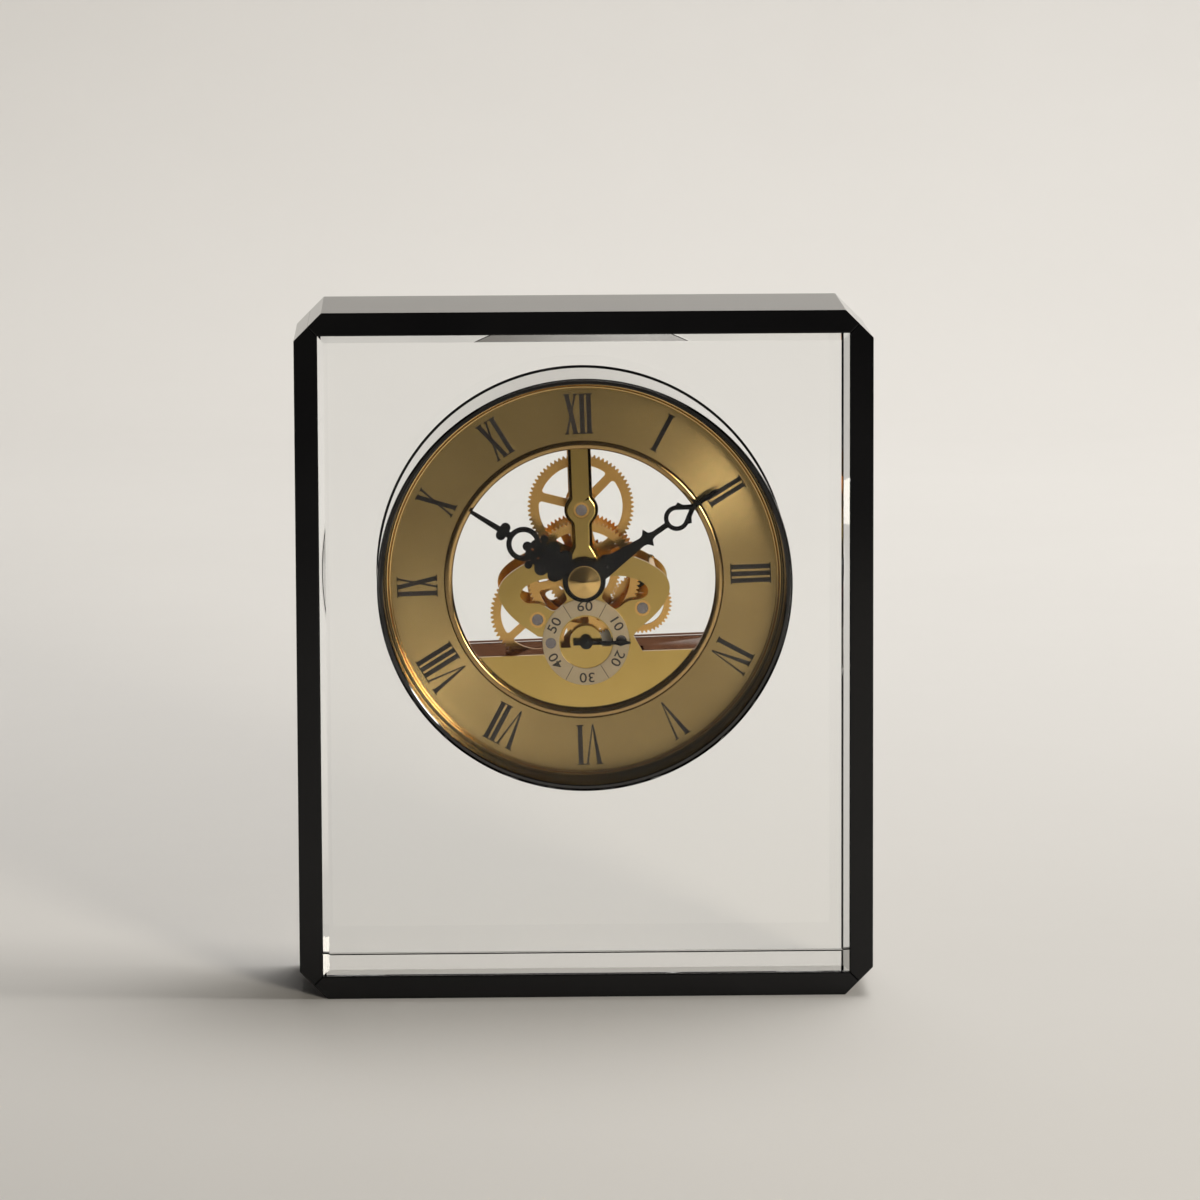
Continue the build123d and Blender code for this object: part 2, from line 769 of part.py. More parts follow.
# Motor: stator, coil on its core, and the bridge that carries the rear pivots.
bridge_end = bridge_depth + bridge_thickness
bridge_low = coil_spot[1] - coil_radius - 1.6
bridge_left = motor_posts[0][0] - motor_post_radius - bridge_margin
bridge_right = motor_posts[2][0] + motor_post_radius + bridge_margin
with BuildPart() as motor_bridge:
    add(slab(bridge_depth, bridge_thickness, bridge_left, bridge_right, bridge_low, base_inner_top - 0.2))
    add(
        slab(
            bridge_depth,
            bridge_thickness,
            reduction_axis[0] - bridge_tongue / 2,
            reduction_axis[0] + bridge_tongue / 2,
            base_inner_top - 1.0,
            segment_top - 0.3,
        )
    )
    with BuildSketch(dial_plane(bridge_depth)):
        with Locations(reduction_axis, rotor_axis):
            Circle(motor_arbor_radius + running_clearance)
    extrude(amount=-bridge_thickness, mode=Mode.SUBTRACT)
save(motor_bridge.part, "motor_bridge")
motor_screws = []
for spot in motor_posts:
    with BuildPart() as screw:
        add(disc(bridge_end, pillar_head_thickness, motor_head_radius, 0, spot))
        with BuildSketch(dial_plane(bridge_end + pillar_head_thickness, spot, 60)):
            Rectangle(3 * motor_head_radius, screw_slot)
        extrude(amount=screw_slot_depth, mode=Mode.SUBTRACT)
    motor_screws.append(screw.part)
save(Compound(children=motor_screws), "motor_screws")

coil_left = coil_spot[0] - coil_length / 2
coil_right = coil_spot[0] + coil_length / 2
leg_left = coil_left - coil_play - stator_width
leg_right = coil_right + coil_play
stator_hole = rotor_radius + rotor_gap
stator_eye = stator_hole + stator_rim
stator_low = coil_spot[1] - 1.4
with BuildPart() as stator:
    add(slab(stator_depth, stator_thickness, leg_left, leg_left + stator_width, stator_low, rotor_axis[1] + 0.4))
    add(slab(stator_depth, stator_thickness, leg_left, rotor_axis[0], rotor_axis[1] - 1.6, rotor_axis[1] + 0.4))
    add(slab(stator_depth, stator_thickness, leg_right, leg_right + stator_width, stator_low, rotor_axis[1]))
    add(slab(stator_depth, stator_thickness, motor_posts[1][0], leg_left + 0.1, stator_low - 1.0, stator_low + 2.4))
    add(slab(stator_depth, stator_thickness, leg_right, motor_posts[2][0], stator_low, stator_low + 2.4))
    for spot in motor_posts[1:]:
        add(disc(stator_depth, stator_thickness, motor_post_radius + 1.0, 0, spot))
    add(disc(stator_depth, stator_thickness, stator_eye, 0, rotor_axis))
    add(disc(stator_depth, stator_thickness, stator_hole, 0, rotor_axis), mode=Mode.SUBTRACT)
    for spot in motor_posts[1:]:
        add(disc(stator_depth, stator_thickness, motor_post_radius, 0, spot), mode=Mode.SUBTRACT)
save(stator.part, "stator")

core_depth = stator_depth - core_size
core_low = coil_spot[1] - core_size / 2
core_high = coil_spot[1] + core_size / 2
coil_core = slab(core_depth, core_size, leg_left, leg_right + stator_width, core_low, core_high)
save(coil_core, "coil_core")
with BuildPart() as coil:
    add(lengthwise(core_depth + core_size / 2, coil_spot[1], coil_left, coil_length, coil_radius))
    add(slab(core_depth, core_size, coil_left - 1, coil_right + 1, core_low, core_high), mode=Mode.SUBTRACT)
save(coil.part, "coil")

board_left = board_spot[0] - board_width / 2
board_low = board_spot[1] - board_height / 2
save(
    slab(board_depth, board_thickness, board_left, board_left + board_width, board_low, board_low + board_height),
    "circuit_board",
)
board_end = board_depth + board_thickness
board_parts = [
    lengthwise(board_end + 1.0, board_spot[1] - 2.6, board_spot[0] - 3.0, 6.0, 1.0),
    disc(board_end, 0.9, 2.2, 0, (board_spot[0] + 1.0, board_spot[1] + 2.2)),
]
save(Compound(children=board_parts), "board_parts")

# Battery, its two contact plates, and the cover with its plug-in lip.
with BuildPart() as battery:
    add(lengthwise(battery_depth, battery_height, -battery_end, battery_length - 1.0, battery_radius))
    add(lengthwise(battery_depth, battery_height, battery_end - 1.0, 1.0, 1.9))
save(battery.part, "battery")
contacts = []
for side in (-1, 1):
    near = min(side * battery_end, side * contact_end_x)
    contacts.append(
        slab(
            partition_end,
            contact_end - partition_end,
            near,
            near + contact_thickness,
            contact_low + 1.0,
            contact_high,
        )
    )
save(Compound(children=contacts), "battery_contacts")

cover_radius = base_radius - cover_play
cover_top = segment_top - cover_play
lip_radius = base_inner_radius - cover_play
lip_top = base_inner_top - cover_play
with BuildPart() as battery_cover:
    add(segment(base_end, cover_thickness, cover_radius, cover_top))
    add(segment(base_end - cover_lip_depth, cover_lip_depth, lip_radius, lip_top))
    add(
        segment(base_end - cover_lip_depth, cover_lip_depth, lip_radius - base_wall, lip_top - base_wall),
        mode=Mode.SUBTRACT,
    )
    with BuildSketch(dial_plane(base_end + cover_thickness)):
        with GridLocations(0, 1.2, 1, 5):
            with Locations((0, cover_top - 5.0)):
                Rectangle(14.0, 0.5)
    extrude(amount=0.4, mode=Mode.SUBTRACT)
save(battery_cover.part, "battery_cover")

# Clear rear window on the housing's shoulder, and the split ring that holds it.
rear_radius = rear_pocket_radius - rear_play
rear_top = segment_top + rear_play
rear_ring_depth = rear_window_depth + rear_window_thickness
with BuildPart() as rear_window:
    add(disc(rear_window_depth, rear_window_thickness, rear_radius))
    add(segment(rear_window_depth, rear_window_thickness, rear_radius + 1, rear_top), mode=Mode.SUBTRACT)
    arbor_hole = arbor_radius + running_clearance
    add(disc(rear_window_depth, rear_window_thickness, arbor_hole, 0, right_axis), mode=Mode.SUBTRACT)
save(rear_window.part, "rear_window")
with BuildPart() as rear_ring:
    add(disc(rear_ring_depth, rear_ring_thickness, rear_radius, rear_radius - rear_ring_width))
    add(segment(rear_ring_depth, rear_ring_thickness, rear_radius + 1, rear_top), mode=Mode.SUBTRACT)
save(rear_ring.part, "rear_ring")

# Seconds arbor: hand, slender arbor with its pinion, and the wheel that the motor turns.
wheel_a, wheel_b = wheel_addendum, pinion_addendum
arbor_end = rear_plate_depth + plate_thickness
left_wheel_points, seconds_pinion_points = pair_outlines(
    left_axis, seconds_axis, left_wheel_teeth, seconds_pinion_teeth, left_module, wheel_a, wheel_b
)
seconds_wheel_points, reduction_pinion_points = pair_outlines(
    seconds_axis, reduction_axis, seconds_wheel_teeth, reduction_pinion_teeth, motor_module, wheel_a, wheel_b
)
with BuildPart() as seconds_arbor:
    add(disc(second_hand_depth, arbor_end - second_hand_depth, arbor_radius, 0, seconds_axis))
    add(
        toothed_disc(
            left_wheel_depth - pinion_overhang,
            seconds_axis,
            wheel_thickness + 2 * pinion_overhang,
            seconds_pinion_points,
        )
    )
save(seconds_arbor.part, "seconds_arbor")
seconds_wheel = spoked_wheel(
    seconds_wheel_depth, seconds_axis, seconds_wheel_points, arbor_radius, seconds_wheel_windows
)
save(seconds_wheel, "seconds_wheel")


def hand_plane(depth, angle, centre=(0.0, 0.0)):
    """Plane of a hand that points along its own y axis, at a clockwise angle on the dial."""
    return dial_plane(depth, centre, angle)


with BuildPart() as second_hand:
    with BuildSketch(hand_plane(second_hand_depth, second_angle, seconds_axis)):
        Circle(second_hub_radius)
        with BuildLine():
            Polyline(
                (-0.55, -second_tail_length),
                (0.55, -second_tail_length),
                (0.42, 0),
                (0.42, second_hand_length - 3.2),
                (0.75, second_hand_length - 2.2),
                (0.4, second_hand_length - 1.2),
                (0.25, second_hand_length),
                (-0.25, second_hand_length),
                (-0.4, second_hand_length - 1.2),
                (-0.75, second_hand_length - 2.2),
                (-0.42, second_hand_length - 3.2),
                (-0.42, 0),
                close=True,
            )
        make_face()
        Circle(arbor_radius, mode=Mode.SUBTRACT)
    extrude(amount=-hand_thickness)
save(second_hand.part, "second_hand")

# Motor gears: rotor with its pinion, and the wheel and pinion that step its speed down.
motor_arbor_length = bridge_end - motor_arbor_front
reduction_wheel_points, rotor_pinion_points = pair_outlines(
    reduction_axis, rotor_axis, reduction_wheel_teeth, rotor_pinion_teeth, motor_module, wheel_a, wheel_b
)
with BuildPart() as rotor_arbor:
    add(disc(motor_arbor_front, motor_arbor_length, motor_arbor_radius, 0, rotor_axis))
    add(
        toothed_disc(
            reduction_wheel_depth - pinion_overhang,
            rotor_axis,
            wheel_thickness + 2 * pinion_overhang,
            rotor_pinion_points,
        )
    )
save(rotor_arbor.part, "rotor_arbor")
save(disc(rotor_depth, rotor_thickness, rotor_radius, motor_arbor_radius, rotor_axis), "rotor_magnet")
pinion_start = seconds_wheel_depth - pinion_overhang
with BuildPart() as reduction_gear:
    add(disc(motor_arbor_front, motor_arbor_length, motor_arbor_radius, 0, reduction_axis))
    add(toothed_disc(reduction_wheel_depth, reduction_axis, wheel_thickness, reduction_wheel_points))
    add(disc(reduction_wheel_depth, pinion_start - reduction_wheel_depth, 0.9, 0, reduction_axis))
    add(toothed_disc(pinion_start, reduction_axis, wheel_thickness + 2 * pinion_overhang, reduction_pinion_points))
save(reduction_gear.part, "reduction_gear")

# Going train behind the front plate: left wheel, then the centre wheel.
centre_module = mesh_module((0, 0), left_axis, centre_wheel_teeth, left_pinion_teeth)
centre_wheel_points, left_pinion_points = pair_outlines(
    (0, 0), left_axis, centre_wheel_teeth, left_pinion_teeth, centre_module, wheel_a, wheel_b
)
with BuildPart() as left_arbor:
    add(disc(plate_depth + journal_gap, journal_length, pivot_radius, 0, left_axis))
    add(disc(plate_depth + 1, arbor_end - plate_depth - 1, arbor_radius, 0, left_axis))
    add(
        toothed_disc(
            centre_wheel_depth - pinion_overhang,
            left_axis,
            wheel_thickness + 2 * pinion_overhang,
            left_pinion_points,
        )
    )
save(left_arbor.part, "left_arbor")
left_wheel = spoked_wheel(left_wheel_depth, left_axis, left_wheel_points, arbor_radius, left_wheel_windows)
save(left_wheel, "left_wheel")
centre_hole = minute_arbor_radius + running_clearance
centre_wheel = spoked_wheel(centre_wheel_depth, (0, 0), centre_wheel_points, centre_hole, centre_wheel_windows)
save(centre_wheel, "centre_wheel")

# Minute arbor: hand and cap in front, then the cannon pinion, the setting gear and the clutch spring.
top_module = mesh_module((0, 0), top_axis, cannon_teeth, top_wheel_teeth)
cannon_points, top_wheel_points = pair_outlines(
    (0, 0), top_axis, cannon_teeth, top_wheel_teeth, top_module, wheel_b, wheel_a
)
setting_module = mesh_module((0, 0), right_axis, setting_gear_teeth, right_wheel_teeth)
setting_points, right_wheel_points = pair_outlines(
    (0, 0), right_axis, setting_gear_teeth, right_wheel_teeth, setting_module, wheel_a, wheel_a
)
clutch_depth = centre_wheel_depth - clutch_thickness
with BuildPart() as minute_arbor:
    add(disc(minute_hand_depth, arbor_end - minute_hand_depth, minute_arbor_radius))
    add(disc(clutch_depth - spring_collar_length, spring_collar_length, spring_collar_radius))
    rear_collar = centre_wheel_depth + wheel_thickness + collar_gap
    add(disc(rear_collar, rear_plate_depth - collar_gap - rear_collar, rear_collar_radius))
save(minute_arbor.part, "minute_arbor")
cannon_pinion = toothed_disc(
    top_wheel_depth - pinion_overhang,
    (0, 0),
    wheel_thickness + 2 * pinion_overhang,
    cannon_points,
    minute_arbor_radius,
)
save(cannon_pinion, "cannon_pinion")
setting_gear = spoked_wheel(setting_gear_depth, (0, 0), setting_points, minute_arbor_radius, setting_gear_windows)
save(setting_gear, "setting_gear")
with BuildPart() as clutch_spring:
    with BuildSketch(dial_plane(clutch_depth)):
        Circle(spring_collar_radius)
        with PolarLocations(0, 3):
            Rectangle(clutch_arm, clutch_arm_width, align=(Align.MIN, Align.CENTER))
        Circle(minute_arbor_radius, mode=Mode.SUBTRACT)
    extrude(amount=-clutch_thickness)
save(clutch_spring.part, "clutch_spring")

# Hands. Half outlines run up the right-hand side, and both halves are made from one list.
minute_half = [(2.3, 0), (2.15, 4.8), (0.95, 15.2), (1.15, 16.0), (2.2, 16.9), (0.9, 17.5), (0.6, 18.4), (0.6, 22.4)]
minute_ring = 24.4
shoulder_half = [(0, 24.6), (2.2, 25.2), (2.75, 26.5), (1.6, 27.2), (0.75, 28.6), (0.6, 29.4)]
minute_tip_half = [(0.6, 28.0), (0.62, 30.5), (0.5, 34.6)]
hour_ring = 15.5
hour_knob = 20.7


def both_halves(half, tip=None):
    """Closed outline from its right half, with an optional end point on the middle line."""
    left = [(-u, v) for u, v in reversed(half) if u > 0]
    return half + ([tip] if tip else []) + left


with BuildPart() as minute_hand:
    with BuildSketch(hand_plane(minute_hand_depth, minute_angle)):
        Circle(minute_hub_radius)
        with BuildLine():
            Polyline(*both_halves(minute_half), close=True)
        make_face()
        with Locations((0, minute_ring)):
            Circle(2.8)
        with BuildLine():
            Polyline(*both_halves(shoulder_half), close=True)
        make_face()
        with BuildLine():
            Polyline(*both_halves(minute_tip_half, (0, minute_hand_length)), close=True)
        make_face()
        with Locations((0, minute_ring)):
            Circle(1.8, mode=Mode.SUBTRACT)
        with BuildLine():
            Polyline((-1.5, minute_ring + 1.0), (1.5, minute_ring + 1.0), (0, minute_ring + 3.3), close=True)
        make_face(mode=Mode.SUBTRACT)
        Circle(minute_arbor_radius, mode=Mode.SUBTRACT)
    extrude(amount=-hand_thickness)
save(minute_hand.part, "minute_hand")

with BuildPart() as hour_hand:
    with BuildSketch(hand_plane(hour_hand_depth, hour_angle)):
        Circle(hour_hub_radius)
        with Locations((0, 8.4)):
            Rectangle(5.4, 8.0)
        with Locations((-2.3, 6.2), (2.3, 6.2), (-2.6, 9.4), (2.6, 9.4)):
            Circle(1.5)
        with Locations((-3.3, 12.2), (3.3, 12.2)):
            Circle(0.9)
        with Locations((0, hour_ring)):
            Circle(3.75)
            Circle(2.6, mode=Mode.SUBTRACT)
        with Locations((-1.25, 13.2), (1.25, 13.2), (0, 14.5)):
            Circle(1.05)
        with Locations((-1.1, 11.1), (1.1, 11.1)):
            Circle(0.32, mode=Mode.SUBTRACT)
        with Locations((-0.95, hour_knob), (0.95, hour_knob)):
            Circle(1.1)
        with BuildLine():
            Polyline(
                (0.75, 18.6),
                (0.62, 22.4),
                (0.42, hour_hand_length),
                (-0.42, hour_hand_length),
                (-0.62, 22.4),
                (-0.75, 18.6),
                close=True,
            )
        make_face()
        Circle(pipe_outer, mode=Mode.SUBTRACT)
    extrude(amount=-hand_thickness)
save(hour_hand.part, "hour_hand")

cap_front = minute_hand_depth - cap_rim
with BuildPart() as hand_cap:
    with BuildSketch(dial_plane(minute_hand_depth)):
        Circle(cap_radius)
        with PolarLocations(cap_radius, cap_knurls):
            Circle(cap_knurl_radius, mode=Mode.SUBTRACT)
    extrude(amount=cap_rim)
    with BuildSketch(dial_plane(cap_front)):
        Circle(cap_radius - cap_top_radius)
    with BuildSketch(dial_plane(cap_front - cap_cone)):
        Circle(cap_top_radius)
    loft()
save(hand_cap.part, "hand_cap")

# Motion work: the top wheel and its pinion turn the hour wheel, whose pipe carries the hour hand.
hour_module = mesh_module((0, 0), top_axis, hour_wheel_teeth, top_pinion_teeth)
hour_points, top_pinion_points = pair_outlines(
    (0, 0), top_axis, hour_wheel_teeth, top_pinion_teeth, hour_module, wheel_a, wheel_b
)
with BuildPart() as hour_wheel:
    add(spoked_wheel(hour_wheel_depth, (0, 0), hour_points, pipe_inner, hour_wheel_windows))
    add(disc(hour_hand_depth, hour_wheel_depth - hour_hand_depth, pipe_outer, pipe_inner))
save(hour_wheel.part, "hour_wheel")
with BuildPart() as top_arbor:
    add(disc(arm_front + journal_gap, plate_depth - arm_front + 0.1, pivot_radius, 0, top_axis))
    add(disc(plate_depth, arbor_end - plate_depth, arbor_radius, 0, top_axis))
    add(
        toothed_disc(
            hour_wheel_depth - pinion_overhang,
            top_axis,
            wheel_thickness + 2 * pinion_overhang,
            top_pinion_points,
        )
    )
save(top_arbor.part, "top_arbor")
top_wheel = spoked_wheel(top_wheel_depth, top_axis, top_wheel_points, arbor_radius, top_wheel_windows)
save(top_wheel, "top_wheel")

# Hand setting: the right wheel, its long arbor and the knob behind the rear window.
knob_depth = rear_window_depth + rear_window_thickness + knob_gap
knob_end = knob_depth + knob_thickness
with BuildPart() as setting_arbor:
    add(disc(plate_depth + journal_gap, journal_length, pivot_radius, 0, right_axis))
    add(disc(plate_depth + 1, knob_end - plate_depth - 1, arbor_radius, 0, right_axis))
save(setting_arbor.part, "setting_arbor")
right_wheel = spoked_wheel(setting_gear_depth, right_axis, right_wheel_points, arbor_radius, right_wheel_windows)
save(right_wheel, "right_wheel")
with BuildPart() as setting_knob:
    with BuildSketch(dial_plane(knob_depth, right_axis)):
        Circle(knob_radius)
        with PolarLocations(knob_radius, knob_grooves):
            Circle(knob_groove_radius, mode=Mode.SUBTRACT)
        Circle(arbor_radius, mode=Mode.SUBTRACT)
    extrude(amount=-knob_thickness)
save(setting_knob.part, "setting_knob")
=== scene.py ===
"""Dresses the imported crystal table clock: clear glass, gilt and black finishes, printed dial."""

import json
import logging
import math
from dataclasses import dataclass, field
from enum import Enum

import bpy
from mathutils import Matrix, Vector


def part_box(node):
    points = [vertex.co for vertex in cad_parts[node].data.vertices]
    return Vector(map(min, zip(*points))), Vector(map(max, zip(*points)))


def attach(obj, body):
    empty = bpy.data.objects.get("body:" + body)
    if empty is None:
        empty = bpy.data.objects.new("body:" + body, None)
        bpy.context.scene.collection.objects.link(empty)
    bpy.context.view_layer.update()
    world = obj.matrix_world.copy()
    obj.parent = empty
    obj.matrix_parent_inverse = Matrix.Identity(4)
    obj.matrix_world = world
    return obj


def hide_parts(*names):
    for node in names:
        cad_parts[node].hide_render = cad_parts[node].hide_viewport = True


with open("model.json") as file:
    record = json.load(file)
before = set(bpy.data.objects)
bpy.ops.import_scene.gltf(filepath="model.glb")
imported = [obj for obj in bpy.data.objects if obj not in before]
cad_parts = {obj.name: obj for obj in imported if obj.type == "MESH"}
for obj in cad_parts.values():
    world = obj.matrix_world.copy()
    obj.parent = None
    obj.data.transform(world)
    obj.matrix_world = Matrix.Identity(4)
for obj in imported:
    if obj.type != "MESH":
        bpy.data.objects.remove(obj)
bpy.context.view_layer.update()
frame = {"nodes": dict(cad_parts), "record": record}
LOG = logging.getLogger("clock")

MM = 0.001
MICRON = 0.000001
INSERT_TWIST = math.radians(1.8)
BORE_HEIGHT = 90.5 * MM
ROUND_STEPS = 360
MERGE_DISTANCE = MICRON

# Part of a mottled pattern's values that is spread over the whole range of a finish.
NOISE_LOW, NOISE_HIGH = 0.3, 0.7
# Places of the share, the two colours and the result in a blend of colours.
MIX_FACTOR, MIX_FIRST, MIX_SECOND, MIX_RESULT = 0, 6, 7, 2
# Ring grain along the radius, round the angle and along the axis.
RING_STRETCH = (1.0, 0.0006, 0.3)
# Turn of the highlight on grained metal, as a share of a full turn.
HIGHLIGHT_TURN = 0.25

Colour = tuple[float, float, float]
Place = tuple[float, float, float]
Point = tuple[float, float]
Span = tuple[float, float]


def dial_frame(depth: float = 0.0, centre: Point = (0.0, 0.0), clockwise: float = 0.0) -> Matrix:
    """Matrix from dial coordinates to the frame: x right, y up the dial, z towards the viewer.

    Args:
        depth: Distance behind the block's front face, in mm.
        centre: Origin on the dial, in mm from the hands' axis.
        clockwise: Turn of the coordinates, in degrees.

    Returns:
        The matrix, whose own unit is the metre.
    """
    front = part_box("crystal_block")[0][1]
    across = Vector((math.cos(INSERT_TWIST), 0.0, math.sin(INSERT_TWIST)))
    towards = Vector((0.0, -1.0, 0.0))
    axes = Matrix((across, towards.cross(across), towards)).transposed().to_4x4()
    shift = Matrix.Translation((centre[0] * MM, centre[1] * MM, -depth * MM))
    turn = Matrix.Rotation(-math.radians(clockwise), 4, "Z")
    return Matrix.Translation((0.0, front, BORE_HEIGHT)) @ axes @ shift @ turn


class Tree:
    """Node tree with short calls to add nodes and links."""

    def __init__(self, tree: bpy.types.NodeTree) -> None:
        """Keeps the tree.

        Args:
            tree: Node tree of a material or of a group.
        """
        self.tree = tree

    def node(self, kind: str, **inputs: object) -> bpy.types.Node:
        """Adds a node and fills its inputs.

        Args:
            kind: Node type without its ShaderNode prefix.
            inputs: Socket values by name, with underscores for blanks.

        Returns:
            The new node.
        """
        made = self.tree.nodes.new("ShaderNode" + kind)
        for key, value in inputs.items():
            made.inputs[key.replace("_", " ")].default_value = value
        return made

    def link(self, start: bpy.types.NodeSocket, end: bpy.types.NodeSocket) -> None:
        """Joins two sockets.

        Args:
            start: Output socket.
            end: Input socket.
        """
        self.tree.links.new(start, end)

    def maths(
        self, operation: str, first: bpy.types.NodeSocket, second: bpy.types.NodeSocket
    ) -> bpy.types.NodeSocket:
        """Adds a Math node.

        Args:
            operation: Its operation.
            first: First input.
            second: Second input.

        Returns:
            Its value.
        """
        made = self.node("Math")
        made.operation = operation
        self.link(first, made.inputs[0])
        self.link(second, made.inputs[1])
        return made.outputs["Value"]

    def mixed(
        self,
        factor: bpy.types.NodeSocket,
        first: bpy.types.NodeSocket,
        second: bpy.types.NodeSocket,
    ) -> bpy.types.NodeSocket:
        """Adds a Mix node for two colours.

        Args:
            factor: Share of the second colour.
            first: First colour.
            second: Second colour.

        Returns:
            The mixed colour.
        """
        made = self.node("Mix")
        made.data_type = "RGBA"
        self.link(factor, made.inputs[MIX_FACTOR])
        self.link(first, made.inputs[MIX_FIRST])
        self.link(second, made.inputs[MIX_SECOND])
        return made.outputs[MIX_RESULT]


class Effect(Tree):
    """Shader node group that several finishes share, built once."""

    def __init__(self, name: str, takes: dict[str, str], gives: dict[str, str]) -> None:
        """Starts the group with its sockets.

        Args:
            name: Name of the group.
            takes: Input sockets and their kinds.
            gives: Output sockets and their kinds.
        """
        group = bpy.data.node_groups.new(name, "ShaderNodeTree")
        super().__init__(group)
        for label, kind in takes.items():
            group.interface.new_socket(label, in_out="INPUT", socket_type="NodeSocket" + kind)
        for label, kind in gives.items():
            group.interface.new_socket(label, in_out="OUTPUT", socket_type="NodeSocket" + kind)
        self.given = group.nodes.new("NodeGroupInput").outputs
        self.result = group.nodes.new("NodeGroupOutput").inputs


def roughness_spread(effect: Effect, value: bpy.types.NodeSocket) -> None:
    """Maps a noise value onto the effect's roughness range.

    Args:
        effect: Group with Low, High and Roughness sockets.
        value: Noise value.
    """
    spread = effect.node("MapRange", From_Min=NOISE_LOW, From_Max=NOISE_HIGH)
    effect.link(value, spread.inputs["Value"])
    effect.link(effect.given["Low"], spread.inputs["To Min"])
    effect.link(effect.given["High"], spread.inputs["To Max"])
    effect.link(spread.outputs["Result"], effect.result["Roughness"])


def tone_effect() -> Effect:
    """Slow change between two colours.

    Returns:
        Group with Scale, Dark and Light in, Color out.
    """
    effect = Effect(
        "slow_tone",
        {"Scale": "Float", "Dark": "Color", "Light": "Color"},
        {"Color": "Color"},
    )
    place = effect.node("TexCoord")
    noise = effect.node("TexNoise", Detail=3.0)
    spread = effect.node("MapRange", From_Min=NOISE_LOW, From_Max=NOISE_HIGH)
    effect.link(place.outputs["Object"], noise.inputs["Vector"])
    effect.link(effect.given["Scale"], noise.inputs["Scale"])
    effect.link(noise.outputs["Fac"], spread.inputs["Value"])
    tone = effect.mixed(spread.outputs["Result"], effect.given["Dark"], effect.given["Light"])
    effect.link(tone, effect.result["Color"])
    return effect


def straight_effect() -> Effect:
    """Straight grain, drawn out along the axes that have a small stretch.

    Returns:
        Group with Stretch, Fineness, Low and High in, Height and Roughness out.
    """
    effect = Effect(
        "straight_grain",
        {"Stretch": "Vector", "Fineness": "Float", "Low": "Float", "High": "Float"},
        {"Height": "Float", "Roughness": "Float"},
    )
    place = effect.node("TexCoord")
    scaled = effect.node("VectorMath")
    scaled.operation = "MULTIPLY"
    noise = effect.node("TexNoise", Detail=4.0)
    effect.link(place.outputs["Object"], scaled.inputs[0])
    effect.link(effect.given["Stretch"], scaled.inputs[1])
    effect.link(scaled.outputs["Vector"], noise.inputs["Vector"])
    effect.link(effect.given["Fineness"], noise.inputs["Scale"])
    effect.link(noise.outputs["Fac"], effect.result["Height"])
    roughness_spread(effect, noise.outputs["Fac"])
    return effect


def turned_effect() -> Effect:
    """Ring grain about an axis along Y, as a lathe or a ring brush leaves it.

    Returns:
        Group with Centre, Fineness, Low and High in, Height, Roughness and Tangent out.
    """
    effect = Effect(
        "ring_grain",
        {"Centre": "Vector", "Fineness": "Float", "Low": "Float", "High": "Float"},
        {"Height": "Float", "Roughness": "Float", "Tangent": "Vector"},
    )
    place = effect.node("TexCoord")
    offset = effect.node("VectorMath")
    offset.operation = "SUBTRACT"
    effect.link(place.outputs["Object"], offset.inputs[0])
    effect.link(effect.given["Centre"], offset.inputs[1])
    parts = effect.node("SeparateXYZ")
    effect.link(offset.outputs["Vector"], parts.inputs["Vector"])
    across, depth, up = (parts.outputs[axis] for axis in "XYZ")
    flat = effect.node("CombineXYZ")
    effect.link(across, flat.inputs["X"])
    effect.link(up, flat.inputs["Y"])
    radius = effect.node("VectorMath")
    radius.operation = "LENGTH"
    effect.link(flat.outputs["Vector"], radius.inputs[0])
    angle = effect.maths("ARCTAN2", up, across)
    rings = effect.node("CombineXYZ")
    drawn = effect.node("VectorMath")
    drawn.operation = "MULTIPLY"
    drawn.inputs[1].default_value = RING_STRETCH
    effect.link(radius.outputs["Value"], rings.inputs["X"])
    effect.link(angle, rings.inputs["Y"])
    effect.link(depth, rings.inputs["Z"])
    effect.link(rings.outputs["Vector"], drawn.inputs[0])
    noise = effect.node("TexNoise", Detail=4.0)
    effect.link(drawn.outputs["Vector"], noise.inputs["Vector"])
    effect.link(effect.given["Fineness"], noise.inputs["Scale"])
    effect.link(noise.outputs["Fac"], effect.result["Height"])
    roughness_spread(effect, noise.outputs["Fac"])
    back = effect.node("Math")
    back.operation = "MULTIPLY"
    back.inputs[1].default_value = -1.0
    effect.link(up, back.inputs[0])
    along = effect.node("CombineXYZ")
    effect.link(back.outputs["Value"], along.inputs["X"])
    effect.link(across, along.inputs["Z"])
    to_world = effect.node("VectorTransform")
    to_world.vector_type = "VECTOR"
    to_world.convert_from = "OBJECT"
    to_world.convert_to = "WORLD"
    effect.link(along.outputs["Vector"], to_world.inputs["Vector"])
    effect.link(to_world.outputs["Vector"], effect.result["Tangent"])
    return effect


@dataclass
class Effects:
    """The shared node groups."""

    tone: Effect = field(default_factory=tone_effect)
    straight: Effect = field(default_factory=straight_effect)
    turned: Effect = field(default_factory=turned_effect)


